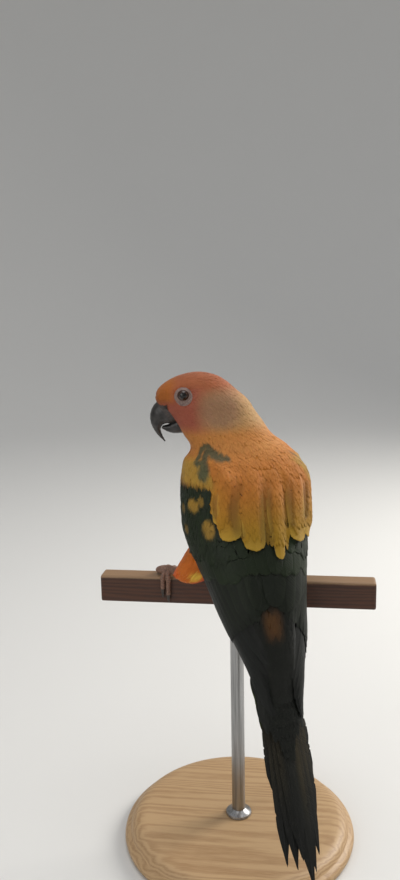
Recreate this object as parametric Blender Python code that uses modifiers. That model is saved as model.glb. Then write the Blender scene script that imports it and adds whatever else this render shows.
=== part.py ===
"""A perched sun conure as a life-size museum model, on a cut length of bar with a display stand.

The bird stands across the bar with its back to the near side, its body turned a little to the
left and its head turned further left, so that the near side shows its back and its profile.
Sizes in the tables are millimetres, and mm() turns them to metres. Heights in the tables are
over the top of the perch. The origin is the middle of the stand's underside.
"""

import math

import bmesh
import bpy
from mathutils import Matrix, Vector

# ---------------------------------------------------------------- driving dimensions
PERCH_LENGTH = 0.160
PERCH_DEPTH = 0.012
PERCH_HEIGHT = 0.016
PERCH_BEVEL = 0.0012
PERCH_TOP = 0.165

BASE_RADIUS = 0.070
BASE_THICKNESS = 0.012
BASE_BEVEL = 0.0025
ROD_RADIUS = 0.004

GAP = 0.0003  # clear space left between pieces that meet

BODY_TURN = 26.0  # degrees that the body faces to the left of straight away
HEAD_TURN = 96.0  # degrees that the head faces to the left of straight away
BODY_CENTRE = (0.0065, -0.009)  # x and y of the point that the trunk's "forward" is measured from
HEAD_CENTRE = (-0.025, 0.0175)  # x and y of the middle of the skull
HEAD_HEIGHT = 98.0  # of the middle of the skull over the perch

# Trunk sections: height, forward, to the left, half width, depth to the back and to the breast.
TRUNK = {
    "tail feathers": (-74.0, -56.0, 0.0, 10.5, 3.0, 3.0),
    "tail root": (-62.0, -50.5, 0.0, 11.0, 4.0, 4.0),
    "tail coverts": (-50.0, -45.0, 0.0, 11.5, 7.0, 8.0),
    "vent": (-34.0, -37.0, -0.5, 14.6, 12.5, 12.0),
    "rump": (-18.0, -28.5, 0.0, 19.0, 17.5, 15.0),
    "lower belly": (-6.0, -22.6, 0.8, 22.0, 21.2, 14.0),
    "thighs": (5.0, -17.2, 1.0, 24.8, 23.6, 14.8),
    "belly": (17.0, -11.5, 1.0, 27.8, 24.8, 21.8),
    "flanks": (32.0, -4.0, 0.4, 30.8, 25.5, 29.5),
    "breast": (50.0, 4.5, -2.0, 32.0, 25.5, 29.0),
    "shoulders": (64.0, 11.0, -3.8, 31.6, 24.0, 22.5),
}

# Neck and head sections: height, reach from the middle of the skull to the bill side and to
# the nape, half width, and how far the section lies nearer to the back than the skull.
HEAD = {
    "neck base": (74.5, 1.5, 55.0, 21.5, 7.0),
    "throat": (81.5, 6.5, 45.5, 18.6, 3.5),
    "jaw": (88.5, 11.0, 40.5, 17.0, 1.5),
    "cheek": (95.0, 16.5, 35.5, 16.2, 0.5),
    "eye": (101.5, 22.5, 31.5, 15.8, 0.0),
    "brow": (107.0, 22.6, 25.0, 14.6, 0.0),
    "forehead": (112.0, 17.5, 19.5, 12.0, 0.0),
    "crown": (116.0, 9.5, 13.0, 7.6, 0.0),
    "top": (118.0, 1.0, 5.0, 2.0, 0.0),
}

SECTION_POWER = 2.2  # of the superellipse that every body section is
BODY_SIDES = 28
TRUNK_CUT = (-60.0, 73.0)  # lowest and highest level of the trunk's own node
HEAD_CUT = 85.0  # level that parts the neck from the head

# Feather plates that lie on the trunk. Rows from the front end to the tips: height, then the
# angles round the body of the edge next to the spine and of the edge next to the belly, where
# 0 is the spine and 90 the side. Lifts: clear of the trunk at the first and last row, and the
# outer face's, all in millimetres. The tips end in a number of lobes of some depth. Steps are
# the faces along and across.
PLATES = {
    "scapulars": {
        "rows": ((74, 16, 42), (68, 3, 55), (52, 2, 56), (38, 2, 56), (26, 2, 56), (16, 3, 54)),
        "under": (0.4, 3.9),
        "outer": (3.6, 4.8),
        "lobes": (3, 8.0),
        "steps": (8, 9),
    },
    "wing_coverts": {
        "rows": ((74, 66, 94), (68, 60, 112), (52, 60, 128), (38, 60, 126), (26, 60, 120), (16, 61, 108)),
        "under": (0.4, 3.9),
        "outer": (2.4, 4.8),
        "lobes": (3, 3.5),
        "steps": (8, 9),
    },
    "wing_secondaries": {
        "rows": ((31, 26, 118), (18, 18, 116), (4, 14, 106), (-4, 15, 92), (-12, 19, 76)),
        "under": (2.2, 2.2),
        "outer": (3.5, 3.3),
        "lobes": (3, 4.0),
        "steps": (7, 9),
    },
    "wing_primaries": {
        "rows": ((14, 62, 112), (-4, 50, 104), (-20, 36, 96), (-34, 22, 88), (-46, 12, 66), (-56, 14, 34)),
        "under": (0.4, 0.4),
        "outer": (1.9, 1.5),
        "lobes": (1, 0.0),
        "steps": (9, 5),
    },
}
LOBE_START = 0.6  # share of the plate's length at which its lobes part
LIFT_RATE = 1.6  # a plate reaches its full lift at one over this share of its length

# Tail feathers from the middle pair outwards: how far the tip is below the root, inner and outer edge
# from the midline at the root, and the same near the tip.
TAIL_FEATHERS = (
    (84.0, 0.2, 8.6, 0.6, 7.2),
    (78.0, 2.6, 10.2, 3.6, 9.0),
    (66.0, 3.4, 11.0, 5.0, 10.2),
    (50.0, 4.2, 11.4, 6.0, 11.0),
)
TAIL_SLOPE = 64.0  # degrees below level
TAIL_THICKNESS = 1.0
TAIL_LAYER = 1.35
TAIL_TOP_LIFT = 2.4  # of the middle pair's face over the middle of the tail
TAIL_ROOT = -50.0  # height of the feathers' roots, inside the trunk's end
TAIL_STEPS = 9
TAIL_TIP_WIDTH = 0.12  # share of a feather's width that its tip keeps
TAIL_ARCH = 0.012  # droop of the tail's sides, per millimetre, for each millimetre out

EYE_RADIUS = 4.6
EYE_PLACE = (5.2, 7.7, 10.9)  # forward, up and out from the middle of the skull

# Upper bill, forward and up from the middle of the skull: culmen, then cutting edge, and the
# half width there, from the base to the hooked tip.
UPPER_BILL = (
    (16.0, 6.0, 8.0, -7.5, 5.8),
    (20.4, 3.6, 9.5, -8.8, 6.0),
    (23.9, 0.2, 12.8, -9.6, 5.8),
    (25.8, -4.4, 16.2, -10.2, 5.1),
    (26.1, -9.0, 19.2, -11.6, 4.1),
    (25.0, -13.6, 20.2, -14.4, 2.8),
    (22.6, -17.4, 19.4, -17.4, 1.7),
    (19.6, -20.3, 18.6, -19.6, 0.8),
)
LOWER_BILL = (
    (4.0, -15.4, 6.0, -8.0, 5.6),
    (8.5, -16.2, 9.0, -9.4, 5.5),
    (13.0, -16.0, 12.6, -10.6, 4.8),
    (16.6, -15.0, 15.6, -11.6, 3.8),
    (19.2, -13.4, 18.4, -12.5, 2.0),
)
BILL_SIDES = 12
BILL_RINGS_PER_ROW = 1.5

# Legs: x of each foot along the perch; then the thigh and shank as (x, y, height, radius).
FOOT_X = {"left": -40.5, "right": 21.0}
LEGS = {
    "left": {
        "thigh": (
            (-5.0, -6.0, 28.0, 11.0),
            (-15.0, -8.5, 18.0, 10.5),
            (-23.5, -11.0, 9.5, 8.2),
            (-28.0, -11.8, 3.0, 4.6),
        ),
        "shank": ((-29.0, -10.5, 4.4, 2.4), (-35.0, -5.6, 5.4, 2.5), (-40.5, 0.0, 4.0, 2.6)),
    },
    "right": {
        "thigh": (
            (14.0, -1.0, 32.0, 12.0),
            (17.0, 3.0, 23.0, 10.5),
            (20.0, 5.5, 15.5, 7.2),
            (21.2, 5.0, 9.5, 4.4),
        ),
        "shank": ((21.3, 4.6, 9.0, 2.4), (21.2, 2.5, 6.5, 2.5), (21.0, 0.0, 4.0, 2.6)),
    },
}
PAD = (4.4, 4.2, 2.6)  # half sizes of the ball of the foot

# Toes, numbered as in birds: the way each points, in degrees from the far side of the perch
# and to the left, and its length from the middle of the foot without the claw.
TOES = {1: (152.0, 14.5), 2: (-24.0, 15.5), 3: (26.0, 21.0), 4: (203.0, 20.0)}
TOE_RADIUS = 1.65
TOE_TIP_RADIUS = 1.25
TOE_START = 1.5  # how far from the middle of the foot a toe's own solid starts
TOE_STEPS = 6
CLAW_LENGTH = 6.5
CLAW_RADIUS = 1.05
CLAW_TIP_RADIUS = 0.22
CLAW_HOOK = 0.9  # how far the claw's tip turns in towards the perch
CLAW_RISE = 0.35  # how far it first leaves it
CLAW_STEPS = 4

MM = 0.001


def mm(value):
    return value * MM


# ---------------------------------------------------------------- Blender helpers
def clear_scene():
    for item in list(bpy.data.objects):
        bpy.data.objects.remove(item, do_unlink=True)


def collection(name):
    group = bpy.data.collections.new(name)
    bpy.context.scene.collection.children.link(group)
    return group


def material(name, colour, roughness, metallic=0.0):
    finish = bpy.data.materials.new(name)
    finish.use_nodes = True
    shader = finish.node_tree.nodes["Principled BSDF"]
    shader.inputs["Base Color"].default_value = (*colour, 1.0)
    shader.inputs["Roughness"].default_value = roughness
    shader.inputs["Metallic"].default_value = metallic
    return finish


def mesh_object(name, points, faces, finish, group):
    """A mesh object with its faces turned outwards and its round sides shaded smooth."""
    mesh = bpy.data.meshes.new(name)
    mesh.from_pydata([tuple(point) for point in points], [], faces)
    work = bmesh.new()
    work.from_mesh(mesh)
    bmesh.ops.recalc_face_normals(work, faces=work.faces)
    work.to_mesh(mesh)
    work.free()
    return place_mesh(name, mesh, finish, group)


def place_mesh(name, mesh, finish, group):
    mesh.materials.clear()
    mesh.materials.append(finish)
    mesh.shade_smooth()
    mesh.set_sharp_from_angle(angle=math.radians(35))
    item = bpy.data.objects.new(name, mesh)
    group.objects.link(item)
    return item


def loft(name, rings, finish, group):
    """A closed solid through rings that all have the same number of points."""
    sides = len(rings[0])
    points = [point for ring in rings for point in ring]
    faces = []
    for row in range(len(rings) - 1):
        for side in range(sides):
            following = (side + 1) % sides
            low = row * sides
            high = low + sides
            faces.append((low + side, low + following, high + following, high + side))
    last = (len(rings) - 1) * sides
    faces.append(tuple(range(sides - 1, -1, -1)))
    faces.append(tuple(last + side for side in range(sides)))
    return mesh_object(name, points, faces, finish, group)


def tapered_tube(name, route, finish, group, sides_level=2):
    """A tube through (x, y, z, radius) points in metres, made a mesh with its caps welded."""
    curve = bpy.data.curves.new(name, "CURVE")
    curve.dimensions = "3D"
    curve.bevel_depth = 1.0
    curve.bevel_resolution = sides_level
    curve.use_fill_caps = True
    spline = curve.splines.new("POLY")
    spline.points.add(len(route) - 1)
    for point, (x, y, z, radius) in zip(spline.points, route):
        point.co = (x, y, z, 1.0)
        point.radius = radius
    guide = bpy.data.objects.new(name + "_route", curve)
    group.objects.link(guide)
    graph = bpy.context.evaluated_depsgraph_get()
    mesh = bpy.data.meshes.new_from_object(guide.evaluated_get(graph))
    bpy.data.objects.remove(guide, do_unlink=True)
    work = bmesh.new()
    work.from_mesh(mesh)
    bmesh.ops.remove_doubles(work, verts=work.verts, dist=1e-6)
    bmesh.ops.recalc_face_normals(work, faces=work.faces)
    work.to_mesh(mesh)
    work.free()
    return place_mesh(name, mesh, finish, group)


def boolean(item, other, operation):
    """Cut item by other, or join it, and leave the result as item's own mesh."""
    step = item.modifiers.new(operation.lower(), "BOOLEAN")
    step.operation = operation
    step.solver = "EXACT"
    step.object = other
    graph = bpy.context.evaluated_depsgraph_get()
    mesh = bpy.data.meshes.new_from_object(item.evaluated_get(graph))
    item.modifiers.clear()
    item.data = mesh


def as_cutter(item):
    item.hide_render = True
    item.display_type = "WIRE"
    return item


def smooth_curve(rows, place):
    """The row at a fractional place between rows, on a Catmull-Rom curve through them."""
    last = len(rows) - 1
    index = min(int(place), last - 1)
    step = place - index
    before = rows[max(index - 1, 0)]
    after = rows[min(index + 2, last)]
    values = []
    for a, b, c, d in zip(before, rows[index], rows[index + 1], after):
        slope_b = (c - a) / 2
        slope_c = (d - b) / 2
        square = step * step
        cube = square * step
        values.append(
            b * (2 * cube - 3 * square + 1)
            + slope_b * (cube - 2 * square + step)
            + c * (3 * square - 2 * cube)
            + slope_c * (cube - square)
        )
    return values


def resample(rows, steps):
    return [smooth_curve(rows, (len(rows) - 1) * step / steps) for step in range(steps + 1)]


# ---------------------------------------------------------------- the body's sections
def heading(turn):
    """Unit vectors ahead and to the left for something that faces turn degrees left of +Y."""
    angle = math.radians(turn)
    ahead = Vector((-math.sin(angle), math.cos(angle), 0.0))
    left = Vector((-math.cos(angle), -math.sin(angle), 0.0))
    return ahead, left


AHEAD, LEFT = heading(BODY_TURN)
FACING, _ = heading(HEAD_TURN)
HEAD_RIGHT = Vector((FACING.y, -FACING.x, 0.0))
UP = Vector((0.0, 0.0, 1.0))


def body_point(forward, leftward, height):
    """A point in the body's own directions, in millimetres, as a place in metres."""
    centre = Vector((*BODY_CENTRE, PERCH_TOP))
    return centre + mm(forward) * AHEAD + mm(leftward) * LEFT + mm(height) * UP


def head_point(forward, up, out):
    """A point in the head's own directions from the middle of the skull; out is to its left."""
    centre = Vector((*HEAD_CENTRE, PERCH_TOP + mm(HEAD_HEIGHT)))
    return centre + mm(forward) * FACING + mm(up) * UP - mm(out) * HEAD_RIGHT


def perch_point(x, y, height):
    return Vector((mm(x), mm(y), PERCH_TOP + mm(height)))


def body_rows():
    """Every section as height, x, y, reach left, right, back and front, and turn."""
    rows = []
    for height, forward, leftward, half, back, front in TRUNK.values():
        centre = body_point(forward, leftward, height) / MM
        rows.append((height, centre.x, centre.y, half, half, back, front, BODY_TURN))
    for height, bill, nape, half, nearer in HEAD.values():
        middle = head_point((bill - nape) / 2, 0.0, 0.0) / MM
        reach = (bill + nape) / 2
        rows.append((height, middle.x, middle.y - nearer, reach, reach, half, half, HEAD_TURN - 90.0))
    return rows


BODY_ROWS = body_rows()


def row_place(height):
    """The fractional row at which the body reaches a height."""
    low, high = 0.0, float(len(BODY_ROWS) - 1)
    for _ in range(40):
        middle = (low + high) / 2
        if smooth_curve(BODY_ROWS, middle)[0] < height:
            low = middle
        else:
            high = middle
    return low


def skin_point(place, angle, lift=0.0):
    """A point of the body's outside. Angle 0 is the spine, 90 the left side, 180 the breast."""
    height, x, y, left, right, back, front, turn = smooth_curve(BODY_ROWS, place)
    ahead, leftward = heading(turn)
    across = math.sin(math.radians(angle))
    along = -math.cos(math.radians(angle))
    power = 2.0 / SECTION_POWER
    across = math.copysign(abs(across) ** power, across)
    along = math.copysign(abs(along) ** power, along)
    half = left if across > 0 else right
    depth = front if along > 0 else back
    point = Vector((mm(x), mm(y), PERCH_TOP + mm(height)))
    point += mm(across * half) * leftward + mm(along * depth) * ahead
    if lift:
        point += mm(lift) * skin_normal(place, angle)
    return point


def skin_normal(place, angle):
    step = 0.02
    up = skin_point(place + step, angle) - skin_point(place - step, angle)
    round_ = skin_point(place, angle + 1.5) - skin_point(place, angle - 1.5)
    return up.cross(round_).normalized()


def body_segment(name, low, high, steps, finish, group):
    """The part of the body between two heights, with flat ends."""
    start, end = row_place(low), row_place(high)
    rings = []
    for step in range(steps + 1):
        place = start + (end - start) * step / steps
        rings.append([skin_point(place, 360.0 * side / BODY_SIDES) for side in range(BODY_SIDES)])
    return loft(name, rings, finish, group)


# ---------------------------------------------------------------- parts of the bird
def make_body(finish, group):
    half = GAP / MM / 2
    top = HEAD["top"][0]
    return {
        "trunk": body_segment("trunk", TRUNK_CUT[0], TRUNK_CUT[1] - half, 19, finish["trunk"], group),
        "neck": body_segment("neck", TRUNK_CUT[1] + half, HEAD_CUT - half, 5, finish["neck"], group),
        "head": body_segment("head", HEAD_CUT + half, top, 12, finish["head"], group),
    }


def ball(name, centre, radii, segments, finish, group):
    """A round or oval ball; segments are its faces round and from pole to pole."""
    work = bmesh.new()
    place = Matrix.Translation(centre) @ Matrix.Diagonal((*[mm(radius) for radius in radii], 1.0))
    around, down = segments
    bmesh.ops.create_uvsphere(work, u_segments=around, v_segments=down, radius=1.0, matrix=place)
    mesh = bpy.data.meshes.new(name)
    work.to_mesh(mesh)
    work.free()
    return place_mesh(name, mesh, finish, group)


def make_eyes(head, finish, group, cutters):
    forward, up, out = EYE_PLACE
    for side, sign in (("left", 1), ("right", -1)):
        centre = head_point(forward, up, sign * out)
        socket_radius = EYE_RADIUS + GAP / MM
        ball("eye_" + side, centre, (EYE_RADIUS,) * 3, (12, 8), finish["eye"], group)
        socket = ball("socket_" + side, centre, (socket_radius,) * 3, (12, 8), finish["eye"], cutters)
        boolean(head, as_cutter(socket), "DIFFERENCE")


def bill_ring(row):
    """An oval section across the bill, from its ridge to its cutting edge."""
    ridge_u, ridge_w, edge_u, edge_w, half = row
    ring = []
    for side in range(BILL_SIDES):
        angle = 2 * math.pi * side / BILL_SIDES
        share = (1 - math.cos(angle)) / 2
        forward = ridge_u + (edge_u - ridge_u) * share
        up = ridge_w + (edge_w - ridge_w) * share
        ring.append(head_point(forward, up, half * math.sin(angle)))
    return ring


def make_bill(body, finish, group, cutters):
    """Both halves of the bill, fitted to the face with a thin gap."""
    face = [grown(body[name], cutters) for name in ("head", "neck")]
    for name, rows in (("bill_upper", UPPER_BILL), ("bill_lower", LOWER_BILL)):
        rings = [bill_ring(row) for row in resample(rows, round(BILL_RINGS_PER_ROW * len(rows)))]
        half_bill = loft(name, rings, finish["bill"], group)
        for cutter in face:
            boolean(half_bill, cutter, "DIFFERENCE")


def plate_grid(form, lifts, mirror):
    """Points of one face of a feather plate, row by row."""
    along, across = form["steps"]
    lobes, depth = form["lobes"]
    grid = []
    for step in range(along + 1):
        share = step / along
        height, spine_edge, belly_edge = smooth_curve(form["rows"], share * (len(form["rows"]) - 1))
        lift = lifts[0] + (lifts[1] - lifts[0]) * min(1.0, LIFT_RATE * share)
        parting = max(0.0, (share - LOBE_START) / (1 - LOBE_START)) ** 2
        line = []
        for column in range(across + 1):
            angle = spine_edge + (belly_edge - spine_edge) * column / across
            notch = depth * parting * (1 - abs(math.sin(math.pi * lobes * column / across)))
            line.append(skin_point(row_place(height + notch), mirror * angle, lift))
        grid.append(line)
    return grid


def make_plate(name, form, mirror, finish, group):
    """A thin shell of feathers that follows the body, as rings round its own cross-sections."""
    inner = plate_grid(form, form["under"], mirror)
    outer = plate_grid(form, form["outer"], mirror)
    rings = [upper + lower[::-1] for upper, lower in zip(outer, inner)]
    return loft(name, rings, finish, group)


def make_wings(finish, group):
    for side, mirror in (("left", 1), ("right", -1)):
        for name, form in PLATES.items():
            make_plate(name + "_" + side, form, mirror, finish[name], group)


def tail_ring(share, layer, feather, mirror):
    """The section across one tail feather at a share of its length."""
    length, root_in, root_out, tip_in, tip_out = feather
    narrow = max((1 - share**6) ** 0.5, TAIL_TIP_WIDTH)
    inner = root_in + (tip_in - root_in) * share
    outer = root_out + (tip_out - root_out) * share
    middle = (inner + outer) / 2
    half = (outer - inner) / 2 * narrow
    slope = math.radians(TAIL_SLOPE)
    down = mm(length * share / math.sin(slope)) * (-math.cos(slope) * AHEAD - math.sin(slope) * UP)
    out_of_back = -math.sin(slope) * AHEAD + math.cos(slope) * UP
    root = body_point(trunk_forward(TAIL_ROOT), 0.0, TAIL_ROOT) + down
    ring = []
    for edge in (-1, 0, 1):
        ring.append((middle + edge * half, TAIL_TOP_LIFT - layer * TAIL_LAYER))
    for edge in (1, 0, -1):
        ring.append((middle + edge * half, TAIL_TOP_LIFT - layer * TAIL_LAYER - TAIL_THICKNESS))
    points = []
    for across, lift in ring:
        droop = TAIL_ARCH * across * across
        points.append(root + mirror * mm(across) * LEFT + mm(lift - droop) * out_of_back)
    return points


def trunk_forward(height):
    centre = smooth_curve(BODY_ROWS, row_place(height))
    place = Vector((mm(centre[1]) - BODY_CENTRE[0], mm(centre[2]) - BODY_CENTRE[1], 0.0))
    return place.dot(AHEAD) / MM


def make_tail(body, finish, group, cutters):
    coverts = grown(body["trunk"], cutters)
    for side, mirror in (("left", 1), ("right", -1)):
        for layer, feather in enumerate(TAIL_FEATHERS):
            rings = []
            for step in range(TAIL_STEPS + 1):
                share = 1 - (1 - step / TAIL_STEPS) ** 1.5
                rings.append(tail_ring(share, layer, feather, mirror))
            name = "tail_feather_%s_%d" % (side, layer + 1)
            boolean(loft(name, rings, finish["tail"], group), coverts, "DIFFERENCE")


# ---------------------------------------------------------------- legs and feet
def in_metres(rows):
    return [(*perch_point(x, y, height), mm(radius)) for x, y, height, radius in rows]


def toe_route(foot_x, toe):
    """Points of a toe's centre line: along the top of the perch, over its edge and down."""
    turn, length = TOES[toe]
    angle = math.radians(turn)
    direction = Vector((-math.sin(angle), math.cos(angle)))
    clear = TOE_RADIUS + GAP / MM
    face = PERCH_DEPTH / MM / 2
    reach = face / abs(direction.y)
    bend = clear * math.pi / 2
    points = []
    for step in range(TOE_STEPS + 1):
        share = step / TOE_STEPS
        travel = TOE_START + (length - TOE_START) * share
        radius = TOE_RADIUS + (TOE_TIP_RADIUS - TOE_RADIUS) * share
        if travel <= reach:
            out, height = travel, clear
        elif travel <= reach + bend:
            curl = (travel - reach) / clear
            out, height = reach + clear * math.sin(curl), clear * math.cos(curl)
        else:
            out, height = reach + clear, reach + bend - travel
        points.append((foot_x + direction.x * out, direction.y * out, height, radius))
    return points


def claw_route(toe_points):
    """A hooked claw that goes on from a toe's end and turns in towards the perch."""
    start = Vector(toe_points[-1][:3])
    way = (start - Vector(toe_points[-2][:3])).normalized()
    side = -1.0 if start.y > 0 else 1.0
    start += way * (GAP / MM)
    inwards = Vector((0.0, side, 0.0))
    points = []
    for step in range(CLAW_STEPS + 1):
        share = step / CLAW_STEPS
        turned_in = inwards * (CLAW_HOOK * share * share - CLAW_RISE * share)
        place = start + way * (CLAW_LENGTH * share) + turned_in
        points.append((*place, CLAW_RADIUS * (1 - share) ** 0.7 + CLAW_TIP_RADIUS))
    return points


def make_leg(side, body, finish, group, cutters):
    form = LEGS[side]
    thigh = tapered_tube("leg_" + side, in_metres(resample(form["thigh"], 8)), finish["leg"], group, 4)
    thigh_clearance = grown(thigh, cutters)
    boolean(thigh, grown(body["trunk"], cutters), "DIFFERENCE")

    foot = tapered_tube("foot_" + side, in_metres(resample(form["shank"], 5)), finish["foot"], group)
    centre = perch_point(FOOT_X[side], 0.0, PAD[2] + GAP / MM)
    pad = ball("pad_" + side, centre, PAD, (10, 6), finish["foot"], cutters)
    boolean(foot, thigh_clearance, "DIFFERENCE")
    boolean(foot, as_cutter(pad), "UNION")
    clearance = grown(foot, cutters)
    for toe in TOES:
        points = toe_route(FOOT_X[side], toe)
        piece = tapered_tube("toe_%s_%d" % (side, toe), in_metres(points), finish["foot"], group)
        boolean(piece, clearance, "DIFFERENCE")
        route = in_metres(claw_route(points))
        tapered_tube("claw_%s_%d" % (side, toe), route, finish["claw"], group, 1)


def grown(item, group):
    """A cutter that is a copy of a solid with its faces moved out by the gap."""
    mesh = item.data.copy()
    work = bmesh.new()
    work.from_mesh(mesh)
    work.normal_update()
    moved = [(corner, corner.co + corner.normal * GAP) for corner in work.verts]
    for corner, place in moved:
        corner.co = place
    work.to_mesh(mesh)
    work.free()
    copy = bpy.data.objects.new(item.name + "_clearance", mesh)
    group.objects.link(copy)
    return as_cutter(copy)


# ---------------------------------------------------------------- perch and stand
def make_perch(finish, group):
    work = bmesh.new()
    size = Matrix.Diagonal((PERCH_LENGTH, PERCH_DEPTH, PERCH_HEIGHT, 1.0))
    place = Matrix.Translation((0.0, 0.0, PERCH_TOP - PERCH_HEIGHT / 2))
    bmesh.ops.create_cube(work, size=1.0, matrix=place @ size)
    mesh = bpy.data.meshes.new("perch")
    work.to_mesh(mesh)
    work.free()
    bar = place_mesh("perch", mesh, finish["perch"], group)
    round_edges(bar, PERCH_BEVEL, 2)


def round_edges(item, width, segments):
    bevel = item.modifiers.new("rounded", "BEVEL")
    bevel.width = width
    bevel.segments = segments
    bevel.limit_method = "ANGLE"


def cylinder(name, radius, low, high, segments, finish, group):
    work = bmesh.new()
    place = Matrix.Translation((0.0, 0.0, (low + high) / 2))
    bmesh.ops.create_cone(
        work,
        cap_ends=True,
        segments=segments,
        radius1=radius,
        radius2=radius,
        depth=high - low,
        matrix=place,
    )
    mesh = bpy.data.meshes.new(name)
    work.to_mesh(mesh)
    work.free()
    return place_mesh(name, mesh, finish, group)


def make_stand(finish, group):
    base = cylinder("stand_base", BASE_RADIUS, 0.0, BASE_THICKNESS, 40, finish["stand_base"], group)
    round_edges(base, BASE_BEVEL, 1)
    low = BASE_THICKNESS + GAP
    high = PERCH_TOP - PERCH_HEIGHT - GAP
    cylinder("stand_rod", ROD_RADIUS, low, high, 20, finish["stand_rod"], group)


# ---------------------------------------------------------------- everything
def finishes():
    orange = (0.70, 0.22, 0.03)
    green = (0.03, 0.09, 0.03)
    dark = (0.02, 0.03, 0.03)
    return {
        "head": material("head_feathers", (0.62, 0.15, 0.03), 0.8),
        "neck": material("neck_feathers", orange, 0.8),
        "trunk": material("body_feathers", orange, 0.8),
        "leg": material("leg_feathers", (0.75, 0.25, 0.03), 0.8),
        "scapulars": material("saddle_feathers", (0.78, 0.42, 0.05), 0.75),
        "wing_coverts": material("covert_feathers", green, 0.7),
        "wing_secondaries": material("flight_feathers_green", green, 0.6),
        "wing_primaries": material("flight_feathers_blue_black", dark, 0.5),
        "tail": material("tail_feathers", (0.04, 0.05, 0.02), 0.6),
        "eye": material("eye", (0.02, 0.015, 0.01), 0.1),
        "bill": material("bill_horn", (0.03, 0.03, 0.03), 0.45),
        "foot": material("foot_scales", (0.18, 0.13, 0.12), 0.6),
        "claw": material("claw_horn", (0.03, 0.025, 0.02), 0.4),
        "perch": material("perch_wood", (0.14, 0.07, 0.04), 0.6),
        "stand_base": material("stand_wood", (0.45, 0.40, 0.34), 0.5),
        "stand_rod": material("stand_steel", (0.60, 0.60, 0.60), 0.3, 1.0),
    }


def main():
    clear_scene()
    group = collection("sun_conure")
    cutters = collection("cutters")
    finish = finishes()
    body = make_body(finish, group)
    make_bill(body, finish, group, cutters)
    make_eyes(body["head"], finish, group, cutters)
    make_wings(finish, group)
    make_tail(body, finish, group, cutters)
    for side in FOOT_X:
        make_leg(side, body, finish, group, cutters)
    make_perch(finish, group)
    make_stand(finish, group)


main()
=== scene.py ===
"""The looks of a life-size museum model of a sun conure: skin, plumage, bill, eyes, feet, perch and stand.

Lengths in the tables are millimetres and heights are over the perch's top, unless they say otherwise.
Meshes are in metres. A place on the body is a height and an angle round it: 0 is the spine, 90 the
bird's left side, 180 the breast and -90 its right side.
"""

import math

import bmesh
import bpy
import numpy as np
from mathutils import Matrix, Vector
from mathutils.bvhtree import BVHTree
from mathutils.kdtree import KDTree


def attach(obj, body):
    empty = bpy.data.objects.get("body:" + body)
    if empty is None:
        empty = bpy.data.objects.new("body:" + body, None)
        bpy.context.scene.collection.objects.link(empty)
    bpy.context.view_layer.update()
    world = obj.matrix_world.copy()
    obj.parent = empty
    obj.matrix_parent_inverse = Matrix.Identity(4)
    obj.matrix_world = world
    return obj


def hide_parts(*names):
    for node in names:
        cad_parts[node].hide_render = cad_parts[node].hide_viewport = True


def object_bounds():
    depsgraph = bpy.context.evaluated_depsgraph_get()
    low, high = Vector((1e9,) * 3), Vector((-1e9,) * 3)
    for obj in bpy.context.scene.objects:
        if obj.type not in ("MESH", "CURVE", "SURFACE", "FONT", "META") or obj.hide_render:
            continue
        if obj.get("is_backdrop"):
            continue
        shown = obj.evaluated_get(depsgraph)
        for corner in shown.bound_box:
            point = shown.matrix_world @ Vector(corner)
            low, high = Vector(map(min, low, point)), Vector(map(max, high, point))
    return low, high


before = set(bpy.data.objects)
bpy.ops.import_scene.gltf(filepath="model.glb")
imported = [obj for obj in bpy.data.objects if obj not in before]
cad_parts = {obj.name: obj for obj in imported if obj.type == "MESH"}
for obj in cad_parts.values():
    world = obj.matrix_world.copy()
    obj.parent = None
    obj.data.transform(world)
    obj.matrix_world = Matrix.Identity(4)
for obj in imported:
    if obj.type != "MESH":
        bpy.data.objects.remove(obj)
cad_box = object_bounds()
draw = np.random.default_rng(2711)

MM = 0.001
SIDES = ("left", "right")

# ---------------------------------------------------------------- the body's measures
PERCH_TOP = 0.165
PERCH_DEPTH = 12.0
BODY_TURN = 26.0
HEAD_TURN = 96.0
BODY_CENTRE = (0.0065, -0.009)
HEAD_CENTRE = (-0.025, 0.0175)
HEAD_HEIGHT = 98.0
SECTION_POWER = 2.2

# height, forward, to the left, half width, depth to the back and to the breast
TRUNK = (
    (-74.0, -56.0, 0.0, 10.5, 3.0, 3.0),
    (-62.0, -50.5, 0.0, 11.0, 4.0, 4.0),
    (-50.0, -45.0, 0.0, 11.5, 7.0, 8.0),
    (-34.0, -37.0, -0.5, 14.6, 12.5, 12.0),
    (-18.0, -28.5, 0.0, 19.0, 17.5, 15.0),
    (-6.0, -22.6, 0.8, 22.0, 21.2, 14.0),
    (5.0, -17.2, 1.0, 24.8, 23.6, 14.8),
    (17.0, -11.5, 1.0, 27.8, 24.8, 21.8),
    (32.0, -4.0, 0.4, 30.8, 25.5, 29.5),
    (50.0, 4.5, -2.0, 32.0, 25.5, 29.0),
    (64.0, 11.0, -3.8, 31.6, 24.0, 22.5),
)
# height, reach to the bill side and to the nape, half width, how much nearer to the back
HEAD = (
    (74.5, 1.5, 55.0, 21.5, 7.0),
    (81.5, 6.5, 45.5, 18.6, 3.5),
    (88.5, 11.0, 40.5, 17.0, 1.5),
    (95.0, 16.5, 35.5, 16.2, 0.5),
    (101.5, 22.5, 31.5, 15.8, 0.0),
    (107.0, 22.6, 25.0, 14.6, 0.0),
    (112.0, 17.5, 19.5, 12.0, 0.0),
    (116.0, 9.5, 13.0, 7.6, 0.0),
    (118.0, 1.0, 5.0, 2.0, 0.0),
)

BALL_RADIUS = 4.0
BALL_SHIFT = 0.8  # how far out the ball sits, which keeps its front where a larger one's would be
EYE_PLACE = (5.9, 7.7, 10.9)  # forward, up and out from the middle of the skull
BARE_RING = 4.75  # outer radius of the bare skin round the eye
RING_DROP = 0.8  # how far the ring's outer edge is set down, which makes it thicker below

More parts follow.
